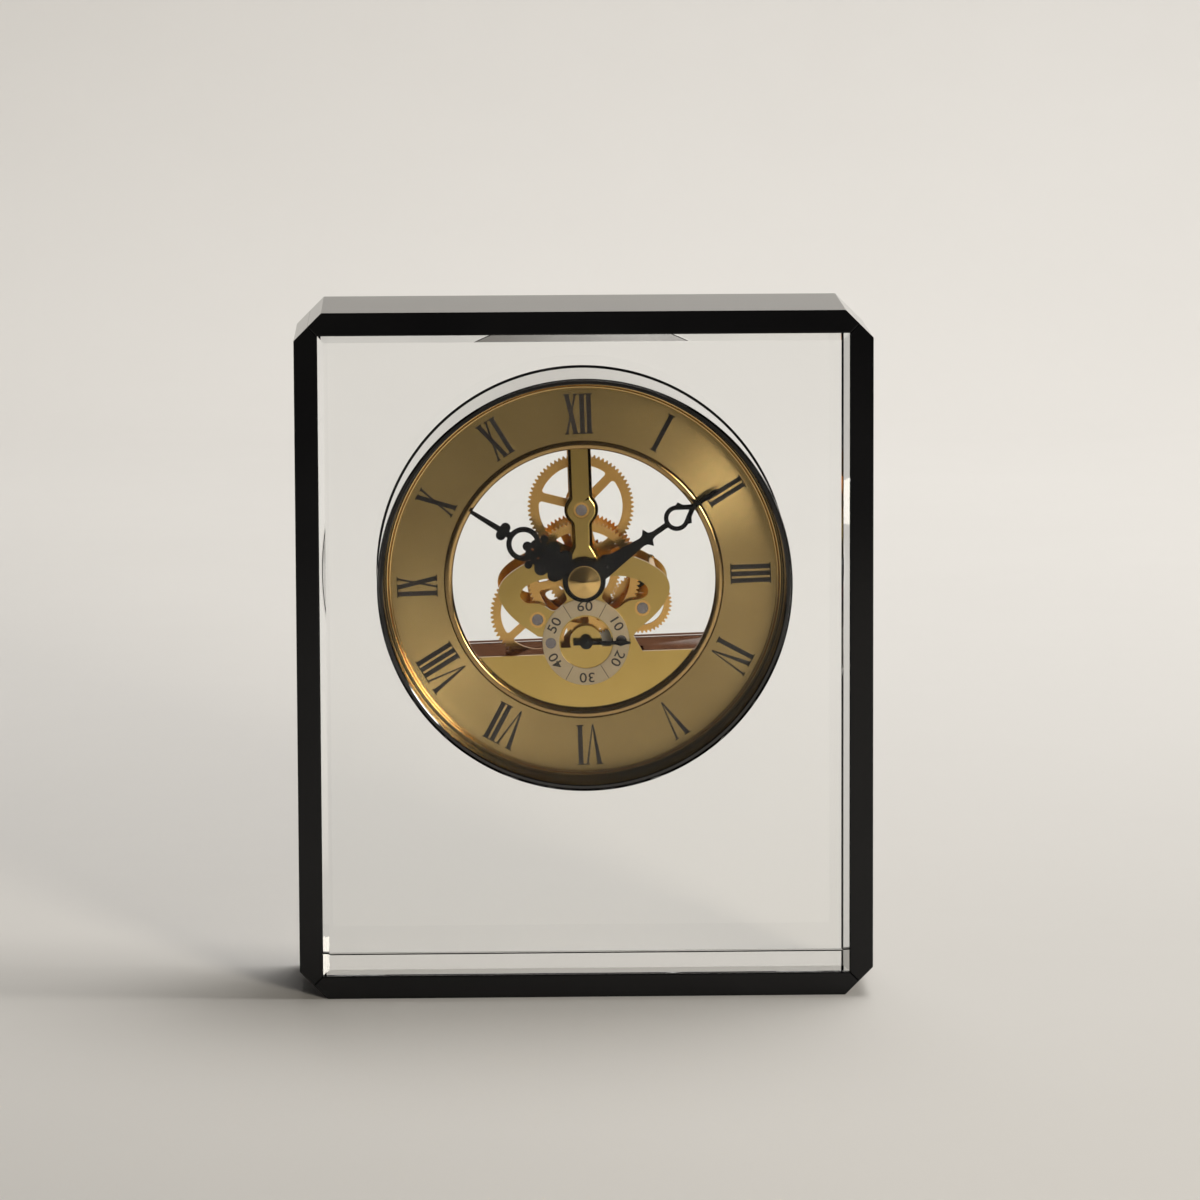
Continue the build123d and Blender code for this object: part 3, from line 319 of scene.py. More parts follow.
class Shading(Tree):
    """Material under construction: a Principled shader fed by shared effects."""

    def __init__(self, name: str, effects: Effects) -> None:
        """Starts a material.

        Args:
            name: Name of the material.
            effects: The shared node groups.
        """
        self.material = bpy.data.materials.new(name)
        self.material.use_nodes = True
        super().__init__(self.material.node_tree)
        self.shader = self.tree.nodes["Principled BSDF"]
        self.effects = effects

    def set(self, **values: object) -> None:
        """Sets plain values on the shader.

        Args:
            values: Socket values by name, with underscores for blanks.
        """
        for key, value in values.items():
            self.shader.inputs[key.replace("_", " ")].default_value = value

    def use(self, effect: Effect, **inputs: object) -> bpy.types.Node:
        """Adds a shared effect.

        Args:
            effect: The group.
            inputs: Its input values.

        Returns:
            The group node.
        """
        made = self.node("Group")
        made.node_tree = effect.tree
        for key, value in inputs.items():
            made.inputs[key].default_value = value
        return made

    def tone(self, dark: Colour, light: Colour, scale: float = 60.0) -> None:
        """Feeds the base colour with a slow change between two colours.

        Args:
            dark: First colour.
            light: Second colour.
            scale: Cycles per metre.
        """
        made = self.use(self.effects.tone, Scale=scale, Dark=(*dark, 1), Light=(*light, 1))
        self.link(made.outputs["Color"], self.shader.inputs["Base Color"])

    def surface(self, grain: bpy.types.Node, depth: float) -> None:
        """Feeds the roughness and the normal from a grain group.

        Args:
            grain: Node of the grain group.
            depth: Depth of the grain in metres.
        """
        self.link(grain.outputs["Roughness"], self.shader.inputs["Roughness"])
        if depth > 0:
            bump = self.node("Bump", Strength=1.0, Distance=depth)
            self.link(grain.outputs["Height"], bump.inputs["Height"])
            self.link(bump.outputs["Normal"], self.shader.inputs["Normal"])


class Grain(Enum):
    """Direction of a surface's finest marks."""

    RING = "ring"
    UPRIGHT = "upright"
    FINE = "fine"


STRETCHES = {Grain.UPRIGHT: (1.0, 0.4, 0.02), Grain.FINE: (1.0, 1.0, 1.0)}


@dataclass(frozen=True)
class ClearGlass:
    """Clear glass with the faintest haze of handling."""

    name: str
    tint: Colour = (0.985, 0.99, 0.985)
    ior: float = 1.52
    haze: float = 0.01

    def build(self, effects: Effects) -> bpy.types.Material:
        """Makes the material.

        Args:
            effects: The shared node groups.

        Returns:
            The material.
        """
        glass = Shading(self.name, effects)
        glass.set(Base_Color=(*self.tint, 1), Metallic=0.0, IOR=self.ior, Transmission_Weight=1.0)
        even = STRETCHES[Grain.FINE]
        smears = glass.use(effects.straight, Stretch=even, Fineness=60.0, Low=0.0, High=self.haze)
        glass.surface(smears, 0)
        return glass.material


@dataclass(frozen=True)
class GlossCoat:
    """Opaque glossy or matt surface: black glass, paint, print or moulded plastic."""

    name: str
    dark: Colour
    light: Colour
    roughness: Span
    grain: float = 0.0
    fineness: float = 900.0
    metallic: float = 0.0
    coat: float = 0.0
    ior: float = 1.5
    tint: Colour = (1.0, 1.0, 1.0)
    tone_scale: float = 35.0
    stretch: Place = (1.0, 1.0, 0.6)

    def build(self, effects: Effects) -> bpy.types.Material:
        """Makes the material.

        Args:
            effects: The shared node groups.

        Returns:
            The material.
        """
        gloss = Shading(self.name, effects)
        gloss.set(IOR=self.ior, Metallic=self.metallic)
        gloss.set(Coat_Weight=self.coat, Specular_Tint=(*self.tint, 1))
        gloss.tone(self.dark, self.light, self.tone_scale)
        low, high = self.roughness
        spread = {"Fineness": self.fineness, "Low": low, "High": high}
        gloss.surface(gloss.use(effects.straight, Stretch=self.stretch, **spread), self.grain)
        return gloss.material


@dataclass(frozen=True)
class Metal:
    """Bare or plated metal with a directional grain and slow changes of tone."""

    name: str
    dark: Colour
    light: Colour
    roughness: Span
    grain: Grain = Grain.FINE
    depth: float = MICRON
    centre: Point = (0.0, 0.0)
    fineness: float = 9000.0
    anisotropic: float = 0.0

    def build(self, effects: Effects) -> bpy.types.Material:
        """Makes the material.

        Args:
            effects: The shared node groups.

        Returns:
            The material.
        """
        metal = Shading(self.name, effects)
        metal.set(Metallic=1.0, Anisotropic=self.anisotropic, Anisotropic_Rotation=HIGHLIGHT_TURN)
        metal.tone(self.dark, self.light)
        low, high = self.roughness
        spread = {"Fineness": self.fineness, "Low": low, "High": high}
        centre = tuple(dial_frame(0.0, self.centre).translation)
        if self.grain is Grain.RING:
            metal.surface(metal.use(effects.turned, Centre=centre, **spread), self.depth)
        else:
            lines = metal.use(effects.straight, Stretch=STRETCHES[self.grain], **spread)
            metal.surface(lines, self.depth)
        if self.anisotropic > 0:
            rings = metal.use(effects.turned, Centre=centre, **spread)
            metal.link(rings.outputs["Tangent"], metal.shader.inputs["Tangent"])
        return metal.material


@dataclass(frozen=True)
class Winding:
    """Enamelled copper wire in close turns round the coil."""

    name: str = "copper_winding"
    dark: Colour = (0.45, 0.16, 0.06)
    light: Colour = (0.75, 0.33, 0.14)
    tone_scale: float = 300.0
    turns: float = 260.0
    wire_depth: float = 80 * MICRON

    def build(self, effects: Effects) -> bpy.types.Material:
        """Makes the material.

        Args:
            effects: The shared node groups.

        Returns:
            The material.
        """
        wire = Shading(self.name, effects)
        wire.set(Metallic=1.0, Roughness=0.3, Coat_Weight=0.6, Coat_Roughness=0.1)
        wire.tone(self.dark, self.light, self.tone_scale)
        place = wire.node("TexCoord")
        wave = wire.node("TexWave", Scale=self.turns, Distortion=0.4)
        wire.link(place.outputs["Object"], wave.inputs["Vector"])
        bump = wire.node("Bump", Distance=self.wire_depth)
        wire.link(wave.outputs["Fac"], bump.inputs["Height"])
        wire.link(bump.outputs["Normal"], wire.shader.inputs["Normal"])
        return wire.material


@dataclass(frozen=True)
class CellSleeve:
    """Printed sleeve of the dry cell: a dark body, and a copper band by the positive end."""

    name: str = "cell_sleeve"
    band_start: float = 10.0
    band_blur: float = 0.02
    tone_scale: float = 50.0
    body: tuple[Colour, Colour] = ((0.03, 0.03, 0.035), (0.05, 0.05, 0.055))
    band: tuple[Colour, Colour] = ((0.55, 0.26, 0.1), (0.62, 0.31, 0.13))

    def build(self, effects: Effects) -> bpy.types.Material:
        """Makes the material.

        Args:
            effects: The shared node groups.

        Returns:
            The material.
        """
        sleeve = Shading(self.name, effects)
        sleeve.set(Metallic=0.7, Coat_Weight=0.5)
        place = sleeve.node("TexCoord")
        parts = sleeve.node("SeparateXYZ")
        sleeve.link(place.outputs["Object"], parts.inputs["Vector"])
        first, last = ((self.band_start + side * self.band_blur) * MM for side in (-1, 1))
        edge = sleeve.node("MapRange", From_Min=first, From_Max=last)
        sleeve.link(parts.outputs["X"], edge.inputs["Value"])
        tones = []
        for dark, light in (self.body, self.band):
            ends = {"Dark": (*dark, 1), "Light": (*light, 1)}
            made = sleeve.use(effects.tone, Scale=self.tone_scale, **ends)
            tones.append(made.outputs["Color"])
        colour = sleeve.mixed(edge.outputs["Result"], *tones)
        sleeve.link(colour, sleeve.shader.inputs["Base Color"])
        along = {"Stretch": (0.1, 1, 1), "Fineness": 2000.0}
        sleeve.surface(sleeve.use(effects.straight, Low=0.2, High=0.3, **along), 0)
        return sleeve.material


Finish = ClearGlass | GlossCoat | Metal | Winding | CellSleeve

SECONDS_AXIS = (0.0, -13.9)
BLACK = (0.003, 0.003, 0.0035)
SOOT = (0.01, 0.01, 0.01)
COAL = (0.02, 0.02, 0.02)
FAINT = 0.5 * MICRON

# Finish of each kind of piece, by its material slot.
FINISHES: dict[str, Finish] = {
    "crystal_glass": ClearGlass("crystal_glass"),
    "lens": ClearGlass("lens_glass", (0.99, 0.995, 0.99), 1.22, 0.006),
    "black_glass": GlossCoat(
        "black_glass", BLACK, (0.005, 0.005, 0.0055), (0.02, 0.05), fineness=80.0, ior=1.32
    ),
    "black_metal": GlossCoat(
        "black_lacquer", BLACK, (0.008, 0.007, 0.006), (0.08, 0.14), FAINT, coat=0.5
    ),
    "rubber": GlossCoat("gasket_rubber", SOOT, COAL, (0.45, 0.6), 10 * MICRON),
    "satin_gold": Metal(
        "dial_satin",
        (0.44, 0.31, 0.13),
        (0.50, 0.36, 0.155),
        (0.235, 0.26),
        Grain.UPRIGHT,
        0.0,
        anisotropic=0.8,
    ),
    "champagne": Metal(
        "seconds_satin",
        (0.46, 0.37, 0.25),
        (0.52, 0.425, 0.29),
        (0.34, 0.42),
        Grain.RING,
        centre=SECONDS_AXIS,
    ),
    "polished_gold": Metal(
        "gold_plate", (0.84, 0.58, 0.24), (0.9, 0.64, 0.29), (0.08, 0.14), Grain.RING, FAINT
    ),
    "plate_brass": Metal(
        "plate_gilt", (0.68, 0.47, 0.14), (0.76, 0.53, 0.17), (0.1, 0.16), depth=0.4 * MICRON
    ),
    "wheel_brass": Metal("wheel_brass", (0.88, 0.5, 0.15), (0.94, 0.57, 0.19), (0.16, 0.24)),
    "steel": Metal("pivot_steel", (0.24, 0.21, 0.21), (0.34, 0.31, 0.31), (0.2, 0.3)),
    "black_hand": GlossCoat(
        "hand_lacquer", BLACK, (0.006, 0.006, 0.007), (0.2, 0.28), FAINT, ior=1.35
    ),
    "brown_plastic": GlossCoat(
        "base_gloss",
        (0.2, 0.08, 0.03),
        (0.3, 0.13, 0.05),
        (0.06, 0.12),
        FAINT,
        metallic=1.0,
        tint=(0.3, 0.14, 0.07),
    ),
    "black_plastic": GlossCoat("knob_plastic", SOOT, COAL, (0.4, 0.5), 10 * MICRON),
    "white_plastic": GlossCoat(
        "gear_plastic", (0.6, 0.57, 0.5), (0.7, 0.67, 0.6), (0.35, 0.45), 4 * MICRON
    ),
    "copper": Winding(),
    "board": GlossCoat(
        "board_lacquer", (0.02, 0.09, 0.03), (0.04, 0.14, 0.05), (0.2, 0.35), 10 * MICRON
    ),
    "battery_wrap": CellSleeve(),
}

# Finishes of single pieces that differ from the rest of their slot.
SPECIALS: dict[str, Finish] = {
    "ink": GlossCoat(
        "dial_ink", (0.012, 0.008, 0.007), (0.02, 0.014, 0.012), (0.3, 0.4), MICRON
    ),
    "cover": GlossCoat(
        "cover_plastic", (0.016, 0.010, 0.007), (0.024, 0.015, 0.010), (0.3, 0.4), 8 * MICRON
    ),
    "cap": Metal(
        "cap_gold",
        (0.86, 0.56, 0.2),
        (0.92, 0.62, 0.26),
        (0.14, 0.2),
        Grain.RING,
        anisotropic=0.8,
    ),
    "bronze": Metal(
        "lip_bronze", (0.42, 0.27, 0.11), (0.5, 0.33, 0.14), (0.1, 0.16), Grain.RING, FAINT
    ),
}
OWN_FINISHES = {"hand_cap": "cap", "battery_cover": "cover"}


class Wardrobe:
    """Every finish of the clock, built once."""

    def __init__(self) -> None:
        """Builds the node groups and the materials."""
        self.effects = Effects()
        self.materials = {
            name: finish.build(self.effects) for name, finish in {**FINISHES, **SPECIALS}.items()
        }

    def dress(self, piece: bpy.types.Object, name: str) -> None:
        """Gives a piece one finish.

        Args:
            piece: The object.
            name: Key of the finish.
        """
        piece.data.materials.clear()
        piece.data.materials.append(self.materials[name])

    def dress_frame(self) -> None:
        """Puts each CAD node's finish on it."""
        for part in frame["record"]["subparts"]:
            node = part["node"]
            name = OWN_FINISHES.get(node, part["material_slot"])
            self.dress(frame["nodes"][node], name)
            LOG.info("dressed %s in %s", node, name)


def deselect() -> None:
    """Clears the selection of objects."""
    bpy.ops.object.select_all(action="DESELECT")


def pick(piece: bpy.types.Object) -> None:
    """Selects one object alone and makes it active.

    Args:
        piece: The object.
    """
    deselect()
    bpy.context.view_layer.objects.active = piece
    piece.select_set(True)


def clear_marks(mesh: bpy.types.Mesh) -> None:
    """Clears the selection inside a mesh.

    Args:
        mesh: The mesh, in object mode.
    """
    for elements in (mesh.vertices, mesh.edges, mesh.polygons):
        for element in elements:
            element.select = False


def name_piece(piece: bpy.types.Object, name: str) -> None:
    """Names an object and its data.

    Args:
        piece: The object.
        name: The name.
    """
    piece.name = name
    piece.data.name = name


def settle(piece: bpy.types.Object, place: Matrix) -> None:
    """Moves a piece from dial coordinates into the frame and applies its place.

    Args:
        piece: Object modelled in dial coordinates.
        place: Matrix of those coordinates.
    """
    pick(piece)
    piece.matrix_world = place @ piece.matrix_world
    bpy.ops.object.transform_apply(location=True, rotation=True, scale=True)


def joined(pieces: list[bpy.types.Object], name: str) -> bpy.types.Object:
    """Joins several objects into one.

    Args:
        pieces: Objects to join.
        name: Name of the result.

    Returns:
        The joined object.
    """
    deselect()
    for piece in pieces:
        piece.select_set(True)
    bpy.context.view_layer.objects.active = pieces[0]
    if len(pieces) > 1:
        bpy.ops.object.join()
    result = bpy.context.active_object
    name_piece(result, name)
    return result


def own_copy(piece: bpy.types.Object) -> bpy.types.Object:
    """Copies an object together with its mesh.

    Args:
        piece: Object to copy.

    Returns:
        The copy.
    """
    made = piece.copy()
    made.data = piece.data.copy()
    bpy.context.scene.collection.objects.link(made)
    return made


def turned_ring(name: str, profile: list[Point], smooth: float = 30.0) -> bpy.types.Object:
    """Turns a closed profile about the dial's axis.

    Args:
        name: Name of the piece.
        profile: Corners as radius and depth in mm.
        smooth: Angle in degrees above which an edge stays sharp.

    Returns:
        The ring, in dial coordinates.
    """
    deselect()
    bpy.ops.mesh.primitive_circle_add(vertices=len(profile), radius=MM)
    ring = bpy.context.active_object
    name_piece(ring, name)
    for vertex, (radius, depth) in zip(ring.data.vertices, profile):
        vertex.co = (radius * MM, 0.0, -depth * MM)
    bpy.ops.object.mode_set(mode="EDIT")
    bpy.ops.mesh.select_all(action="SELECT")
    bpy.ops.mesh.spin(steps=ROUND_STEPS, angle=math.tau, center=(0, 0, 0), axis=(0, 0, 1))
    bpy.ops.mesh.select_all(action="SELECT")
    bpy.ops.mesh.remove_doubles(threshold=MERGE_DISTANCE)
    bpy.ops.mesh.normals_make_consistent(inside=False)
    bpy.ops.object.mode_set(mode="OBJECT")
    bpy.ops.object.shade_smooth_by_angle(angle=math.radians(smooth))
    return ring


def arc(centre: Point, radius: Point, start: float, end: float, steps: int) -> list[Point]:
    """Points of an elliptical arc.

    Args:
        centre: Its centre, in mm.
        radius: Its two half axes, in mm.
        start: First angle in degrees.
        end: Last angle in degrees.
        steps: Number of spans.

    Returns:
        The points from start to end.
    """
    points = []
    for step in range(steps + 1):
        angle = math.radians(start + (end - start) * step / steps)
        across, up = radius[0] * math.cos(angle), radius[1] * math.sin(angle)
        points.append((centre[0] + across, centre[1] - up))
    return points


@dataclass
class CrystalBlock:
    """The clear block, bored with a fine round hole so that its refraction is clean."""

    wardrobe: Wardrobe
    bore_radius: float = 45.0
    edge_bevel: float = 1.4
    rear_bevel: float = 0.3
    overshoot: float = 1.0
    reach: float = 0.1
    smooth: float = 12.0

    def cut(self, block: bpy.types.Object, cutter: bpy.types.Object) -> None:
        """Takes a cutter out of the block.

        Args:
            block: The block.
            cutter: Solid to subtract, removed afterwards.
        """
        pick(block)
        boolean = block.modifiers.new("bore", "BOOLEAN")
        boolean.operation = "DIFFERENCE"
        boolean.solver = "EXACT"
        boolean.object = cutter
        bpy.ops.object.modifier_apply(modifier=boolean.name)
        bpy.data.objects.remove(cutter)

    def bevel_face(self, block: bpy.types.Object, face_y: float, width: float) -> None:
        """Bevels the four edges of the front or the rear face.

        Args:
            block: The block.
            face_y: Where the face lies, in metres.
            width: Width of the bevel, in mm.
        """
        clear_marks(block.data)
        for edge in block.data.edges:
            ends = [block.data.vertices[index].co.y for index in edge.vertices]
            edge.select = all(abs(end - face_y) < self.reach * MM for end in ends)
        bpy.ops.object.mode_set(mode="EDIT")
        bpy.ops.mesh.select_mode(type="EDGE")
        bpy.ops.mesh.bevel(offset=width * MM, segments=1, affect="EDGES")
        bpy.ops.object.mode_set(mode="OBJECT")

    def bore(self, depth: float) -> bpy.types.Object:
        """Turns the solid that the bore takes out, flared at the rear rim.

        Args:
            depth: Depth of the block, in mm.

        Returns:
            The cutter, in place.
        """
        front, back = -self.overshoot, depth + self.overshoot
        flared = self.bore_radius + self.rear_bevel + self.overshoot
        profile = [
            (0.0, front),
            (self.bore_radius, front),
            (self.bore_radius, depth - self.rear_bevel),
            (flared, back),
            (0.0, back),
        ]
        cutter = turned_ring("bore_cutter", profile)
        settle(cutter, dial_frame())
        return cutter

    def build(self) -> None:
        """Makes the block and puts it in the place of the CAD node."""
        low, high = (Vector(corner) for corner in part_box("crystal_block"))
        deselect()
        bpy.ops.mesh.primitive_cube_add(size=1.0, location=(low + high) / 2)
        block = bpy.context.active_object
        name_piece(block, "clear_block")
        block.scale = high - low
        bpy.ops.object.transform_apply(location=True, rotation=False, scale=True)
        self.bevel_face(block, low.y, self.edge_bevel)
        self.bevel_face(block, high.y, self.rear_bevel)
        self.cut(block, self.bore((high.y - low.y) / MM))
        pick(block)
        bpy.ops.object.shade_smooth_by_angle(angle=math.radians(self.smooth))
        self.wardrobe.dress(block, "crystal_glass")
        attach(block, "case")
        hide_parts("crystal_block")
        LOG.info("built clear_block")


@dataclass
class DialRings:
    """The turned rings round the dial, with finer curves than the CAD model's."""

    wardrobe: Wardrobe
    case_radius: float = 44.8
    dial_radius: float = 42.0
    window_radius: float = 28.6
    lip_width: float = 1.9
    lip_rise: float = 0.5
    lip_play: float = 0.02
    dial_depth: float = 10.0
    dial_thickness: float = 0.6
    wall_inset: float = 0.7
    bezel_width: float = 1.1
    bead_offsets: Span = (0.31, 0.89)
    bead_radius: Point = (0.29, 0.36)

    @property
    def seat(self) -> float:
        """Outer radius of the dial and of the wall round it, in mm.

        Returns:
            The radius.
        """
        return self.case_radius - self.wall_inset - 0.1

    def ring(
        self, name: str, node: str, slot: str, finish: str, profile: list[Point]
    ) -> None:
        """Makes one ring in the place of a CAD node.

        Args:
            name: Name of the ring.
            node: CAD node that it stands for.
            slot: Material slot in the record; not used.
            finish: Key of its finish.
            profile: Corners as radius and depth in mm.
        """
        ring = turned_ring(name, profile)
        settle(ring, dial_frame())
        self.wardrobe.dress(ring, finish)
        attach(ring, "clock_insert")
        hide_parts(node)
        LOG.info("built %s", name)

    def bezel(self) -> None:
        """Makes the black rim at the front, with softened corners."""
        outer, lip = self.case_radius, self.case_radius - self.bezel_width
        pocket = outer - self.wall_inset
        profile = [
            (outer, 2.1),
            (outer, 0.5),
            (outer - 0.3, 0.2),
            (lip + 0.25, 0.2),
            (lip, 0.45),
            (lip, 1.2),
            (pocket, 1.2),
            (pocket, 2.1),
        ]
        self.ring("bezel_front", "bezel_ring", "black_metal", "black_metal", profile)

    def wall(self) -> None:
        """Makes the black wall that narrows towards the dial."""
        foot = self.dial_radius + 1.3
        profile = [
            (self.seat, 2.7),
            (self.seat, self.dial_depth),
            (foot, self.dial_depth),
            (foot + 0.25, self.dial_depth - 3.0),
            (self.seat - 0.1, 2.7),
        ]
        self.ring("bezel_tube", "bezel_wall", "black_metal", "black_metal", profile)

    def trim(self) -> None:
        """Makes the double bead of gold round the dial."""
        profile = [(self.dial_radius, self.dial_depth)]
        for offset in self.bead_offsets:
            middle = (self.dial_radius + offset, self.dial_depth - 0.12)
            profile += arc(middle, self.bead_radius, 180, 0, 8)
        profile.append((self.dial_radius + 1.2, self.dial_depth))
        self.ring("trim_beads", "trim_ring", "polished_gold", "polished_gold", profile)

    def build(self) -> None:
        """Makes the bezel, its wall, the trim ring, the chapter ring and the window's lip."""
        self.bezel()
        self.wall()
        self.trim()
        depth, back = self.dial_depth, self.dial_depth + self.dial_thickness
        lip_end = self.window_radius + self.lip_width
        dial = [(self.seat, depth), (self.seat, back), (lip_end, back), (lip_end, depth)]
        self.ring("dial_face", "chapter_ring", "satin_gold", "satin_gold", dial)
        half = self.lip_width / 2
        play = self.lip_play
        roll = arc((self.window_radius + half, depth), (half - play, self.lip_rise), 0, 180, 16)
        roll += [(self.window_radius + play, back), (lip_end - play, back)]
        self.ring("window_roll", "window_lip", "polished_gold", "bronze", roll)


@dataclass(frozen=True)
class Stroke:
    """One stroke of a numeral, with its widths and middles at the foot and the head, in mm."""

    foot: float
    head: float
    foot_width: float
    head_width: float
    low: float
    high: float


NUMERAL_HEIGHT = 8.8
SERIF = 0.26
SERIF_TAPER = 0.8


def serif(middle: float, width: float, at_head: bool) -> Stroke:
    """Thin cross line at the end of a stroke.

    Args:
        middle: Its middle, in mm.
        width: Its width, in mm.
        at_head: Whether it closes the head of the numeral.

    Returns:
        The stroke.
    """
    half = NUMERAL_HEIGHT / 2
    if at_head:
        return Stroke(middle, middle, width * SERIF_TAPER, width, half - SERIF, half)
    return Stroke(middle, middle, width, width * SERIF_TAPER, -half, -half + SERIF)


def bar(foot: float, head: float, foot_width: float, head_width: float) -> Stroke:
    """Full-height stroke.

    Args:
        foot: Middle of its foot, in mm.
        head: Middle of its head, in mm.
        foot_width: Width of its foot, in mm.
        head_width: Width of its head, in mm.

    Returns:
        The stroke.
    """
    half = NUMERAL_HEIGHT / 2
    return Stroke(foot, head, foot_width, head_width, -half, half)


LETTERS: dict[str, list[Stroke]] = {
    "I": [bar(0, 0, 1.02, 1.02), serif(0, 1.8, True), serif(0, 1.8, False)],
    "V": [
        bar(0.0, -1.28, 0.3, 1.02),
        bar(0.06, 1.4, 0.2, 0.46),
        serif(-1.28, 1.75, True),
        serif(1.4, 1.2, True),
    ],
    "X": [
        bar(0.92, -0.92, 1.0, 1.0),
        bar(-1.02, 1.0, 0.44, 0.44),
        serif(-0.9, 1.6, True),
        serif(1.0, 1.1, True),
        serif(0.9, 1.6, False),
        serif(-1.0, 1.1, False),
    ],
}
ADVANCES = {"I": 1.5, "V": 4.1, "X": 3.25}
HOURS = ("XII", "I", "II", "III", "IV", "V", "VI", "VII", "VIII", "IX", "X", "XI")


@dataclass
class HourNumerals:
    """The printed Roman hours, each letter modelled once."""

    wardrobe: Wardrobe
    radius: float = 36.35
    print_depth: float = 9.97
    print_thickness: float = 0.03

    def stroke(self, stroke: Stroke) -> bpy.types.Object:
        """Models one stroke from a cube whose foot and head are widened and shifted.

        Args:
            stroke: Its sizes.

        Returns:
            The stroke, in dial coordinates.
        """
        deselect()
        bpy.ops.mesh.primitive_cube_add(size=1.0)
        piece = bpy.context.active_object
        foot = (-1, stroke.low, stroke.foot, stroke.foot_width)
        head = (1, stroke.high, stroke.head, stroke.head_width)
        for side, height, middle, width in (foot, head):
            clear_marks(piece.data)
            for face in piece.data.polygons:
                face.select = face.center.y * side > 0.4
            bpy.ops.object.mode_set(mode="EDIT")
            bpy.ops.mesh.select_mode(type="FACE")
            bpy.ops.transform.resize(value=(width * MM, 1, 1), center_override=(0, 0, 0))
            bpy.ops.transform.translate(value=(middle * MM, height * MM - side * 0.5, 0))
            bpy.ops.object.mode_set(mode="OBJECT")
        piece.scale = (1, 1, self.print_thickness * MM)
        bpy.ops.object.transform_apply(location=True, rotation=True, scale=True)
        return piece

    def letters(self) -> dict[str, bpy.types.Object]:
        """Models each letter once.

        Returns:
            The letters by name.
        """
        made = {}
        for name, strokes in LETTERS.items():
            made[name] = joined([self.stroke(one) for one in strokes], f"letter_{name}")
        return made

    def build(self) -> None:
        """Sets the twelve hours round the dial."""
        letters = self.letters()
        lift = Matrix.Translation((0, self.radius * MM, 0))
        for hour, text in enumerate(HOURS):
            width = sum(ADVANCES[letter] for letter in text)
            reach = -width / 2
            pieces = []
            for letter in text:
                piece = own_copy(letters[letter])
                piece.location.x = (reach + ADVANCES[letter] / 2) * MM
                reach += ADVANCES[letter]
                pieces.append(piece)
            numeral = joined(pieces, f"hour_numeral_{hour or 12}")
            settle(numeral, dial_frame(self.print_depth, (0, 0), 30 * hour) @ lift)
            self.wardrobe.dress(numeral, "ink")
            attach(numeral, "clock_insert")
            LOG.info("built %s", numeral.name)
        for letter in letters.values():
            bpy.data.objects.remove(letter)


@dataclass
class SecondsPrint:
    """Figures and divisions printed on the seconds dial."""

    wardrobe: Wardrobe
    centre: Point = SECONDS_AXIS
    middle_radius: float = 7.75
    print_depth: float = 11.49
    figure_size: float = 3.0
    figure_width: float = 1.15
    figure_spacing: float = 1.05
    figure_weight: float = 0.025
    figure_relief: float = 0.01
    line_size: Place = (0.13, 3.3, 0.02)
    divisions: tuple[int, ...] = (30, 150, 210, 330)

    def finish(self, piece: bpy.types.Object, clockwise: float) -> None:
        """Sets a piece on the seconds dial.

        Args:
            piece: Object in dial coordinates, centred on its own middle.
            clockwise: Its angle on the dial, in degrees.
        """
        lift = Matrix.Translation((0, self.middle_radius * MM, 0))
        settle(piece, dial_frame(self.print_depth, self.centre, clockwise) @ lift)
        self.wardrobe.dress(piece, "ink")
        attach(piece, "clock_insert")
        LOG.info("built %s", piece.name)

    def figure(self, seconds: int) -> bpy.types.Object:
        """Makes one figure.

        Args:
            seconds: The number that it shows.

        Returns:
            Its mesh object, centred on its own middle.
        """
        deselect()
        bpy.ops.object.text_add()
        figure = bpy.context.active_object
        figure.name = f"seconds_figure_{seconds}"
        letters = figure.data
        letters.body = str(seconds)
        letters.size = self.figure_size * MM
        letters.align_x = letters.align_y = "CENTER"
        letters.extrude = self.figure_relief * MM
        letters.offset = self.figure_weight * MM
        letters.space_character = self.figure_spacing
        bpy.ops.object.convert(target="MESH")
        figure = bpy.context.active_object
        figure.scale = (self.figure_width, 1.0, 1.0)
        return figure

    def division(self, angle: int) -> bpy.types.Object:
        """Makes one line between two figures.

        Args:
            angle: Its angle on the dial, in degrees.

        Returns:
            The line, centred on its own middle.
        """
        deselect()
        bpy.ops.mesh.primitive_cube_add(size=1.0)
        line = bpy.context.active_object
        line.name = f"seconds_division_{angle}"
        line.scale = [size * MM for size in self.line_size]
        bpy.ops.object.mode_set(mode="EDIT")
        bpy.ops.mesh.subdivide(number_cuts=2)
        bpy.ops.object.mode_set(mode="OBJECT")
        return line

    def build(self) -> None:
        """Makes the six figures and the four divisions."""
        for tens in range(6):
            self.finish(self.figure(tens * 10 or 60), 60 * tens)
        for angle in self.divisions:
            self.finish(self.division(angle), angle)


@dataclass
class SecondsBoss:
    """Small black cap over the end of the seconds arbor."""

    wardrobe: Wardrobe
    centre: Point = SECONDS_AXIS
    radius: float = 1.0
    front: float = 9.2
    back: float = 9.59

    def build(self) -> None:
        """Turns the cap and sets it on the hand."""
        crown = arc((0.0, self.back), (self.radius, self.back - self.front), 0, 90, 8)
        cap = turned_ring("seconds_boss", [*crown, (0.0, self.back)])
        settle(cap, dial_frame(0.0, self.centre))
        self.wardrobe.dress(cap, "black_hand")
        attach(cap, "seconds_train")
        LOG.info("built seconds_boss")


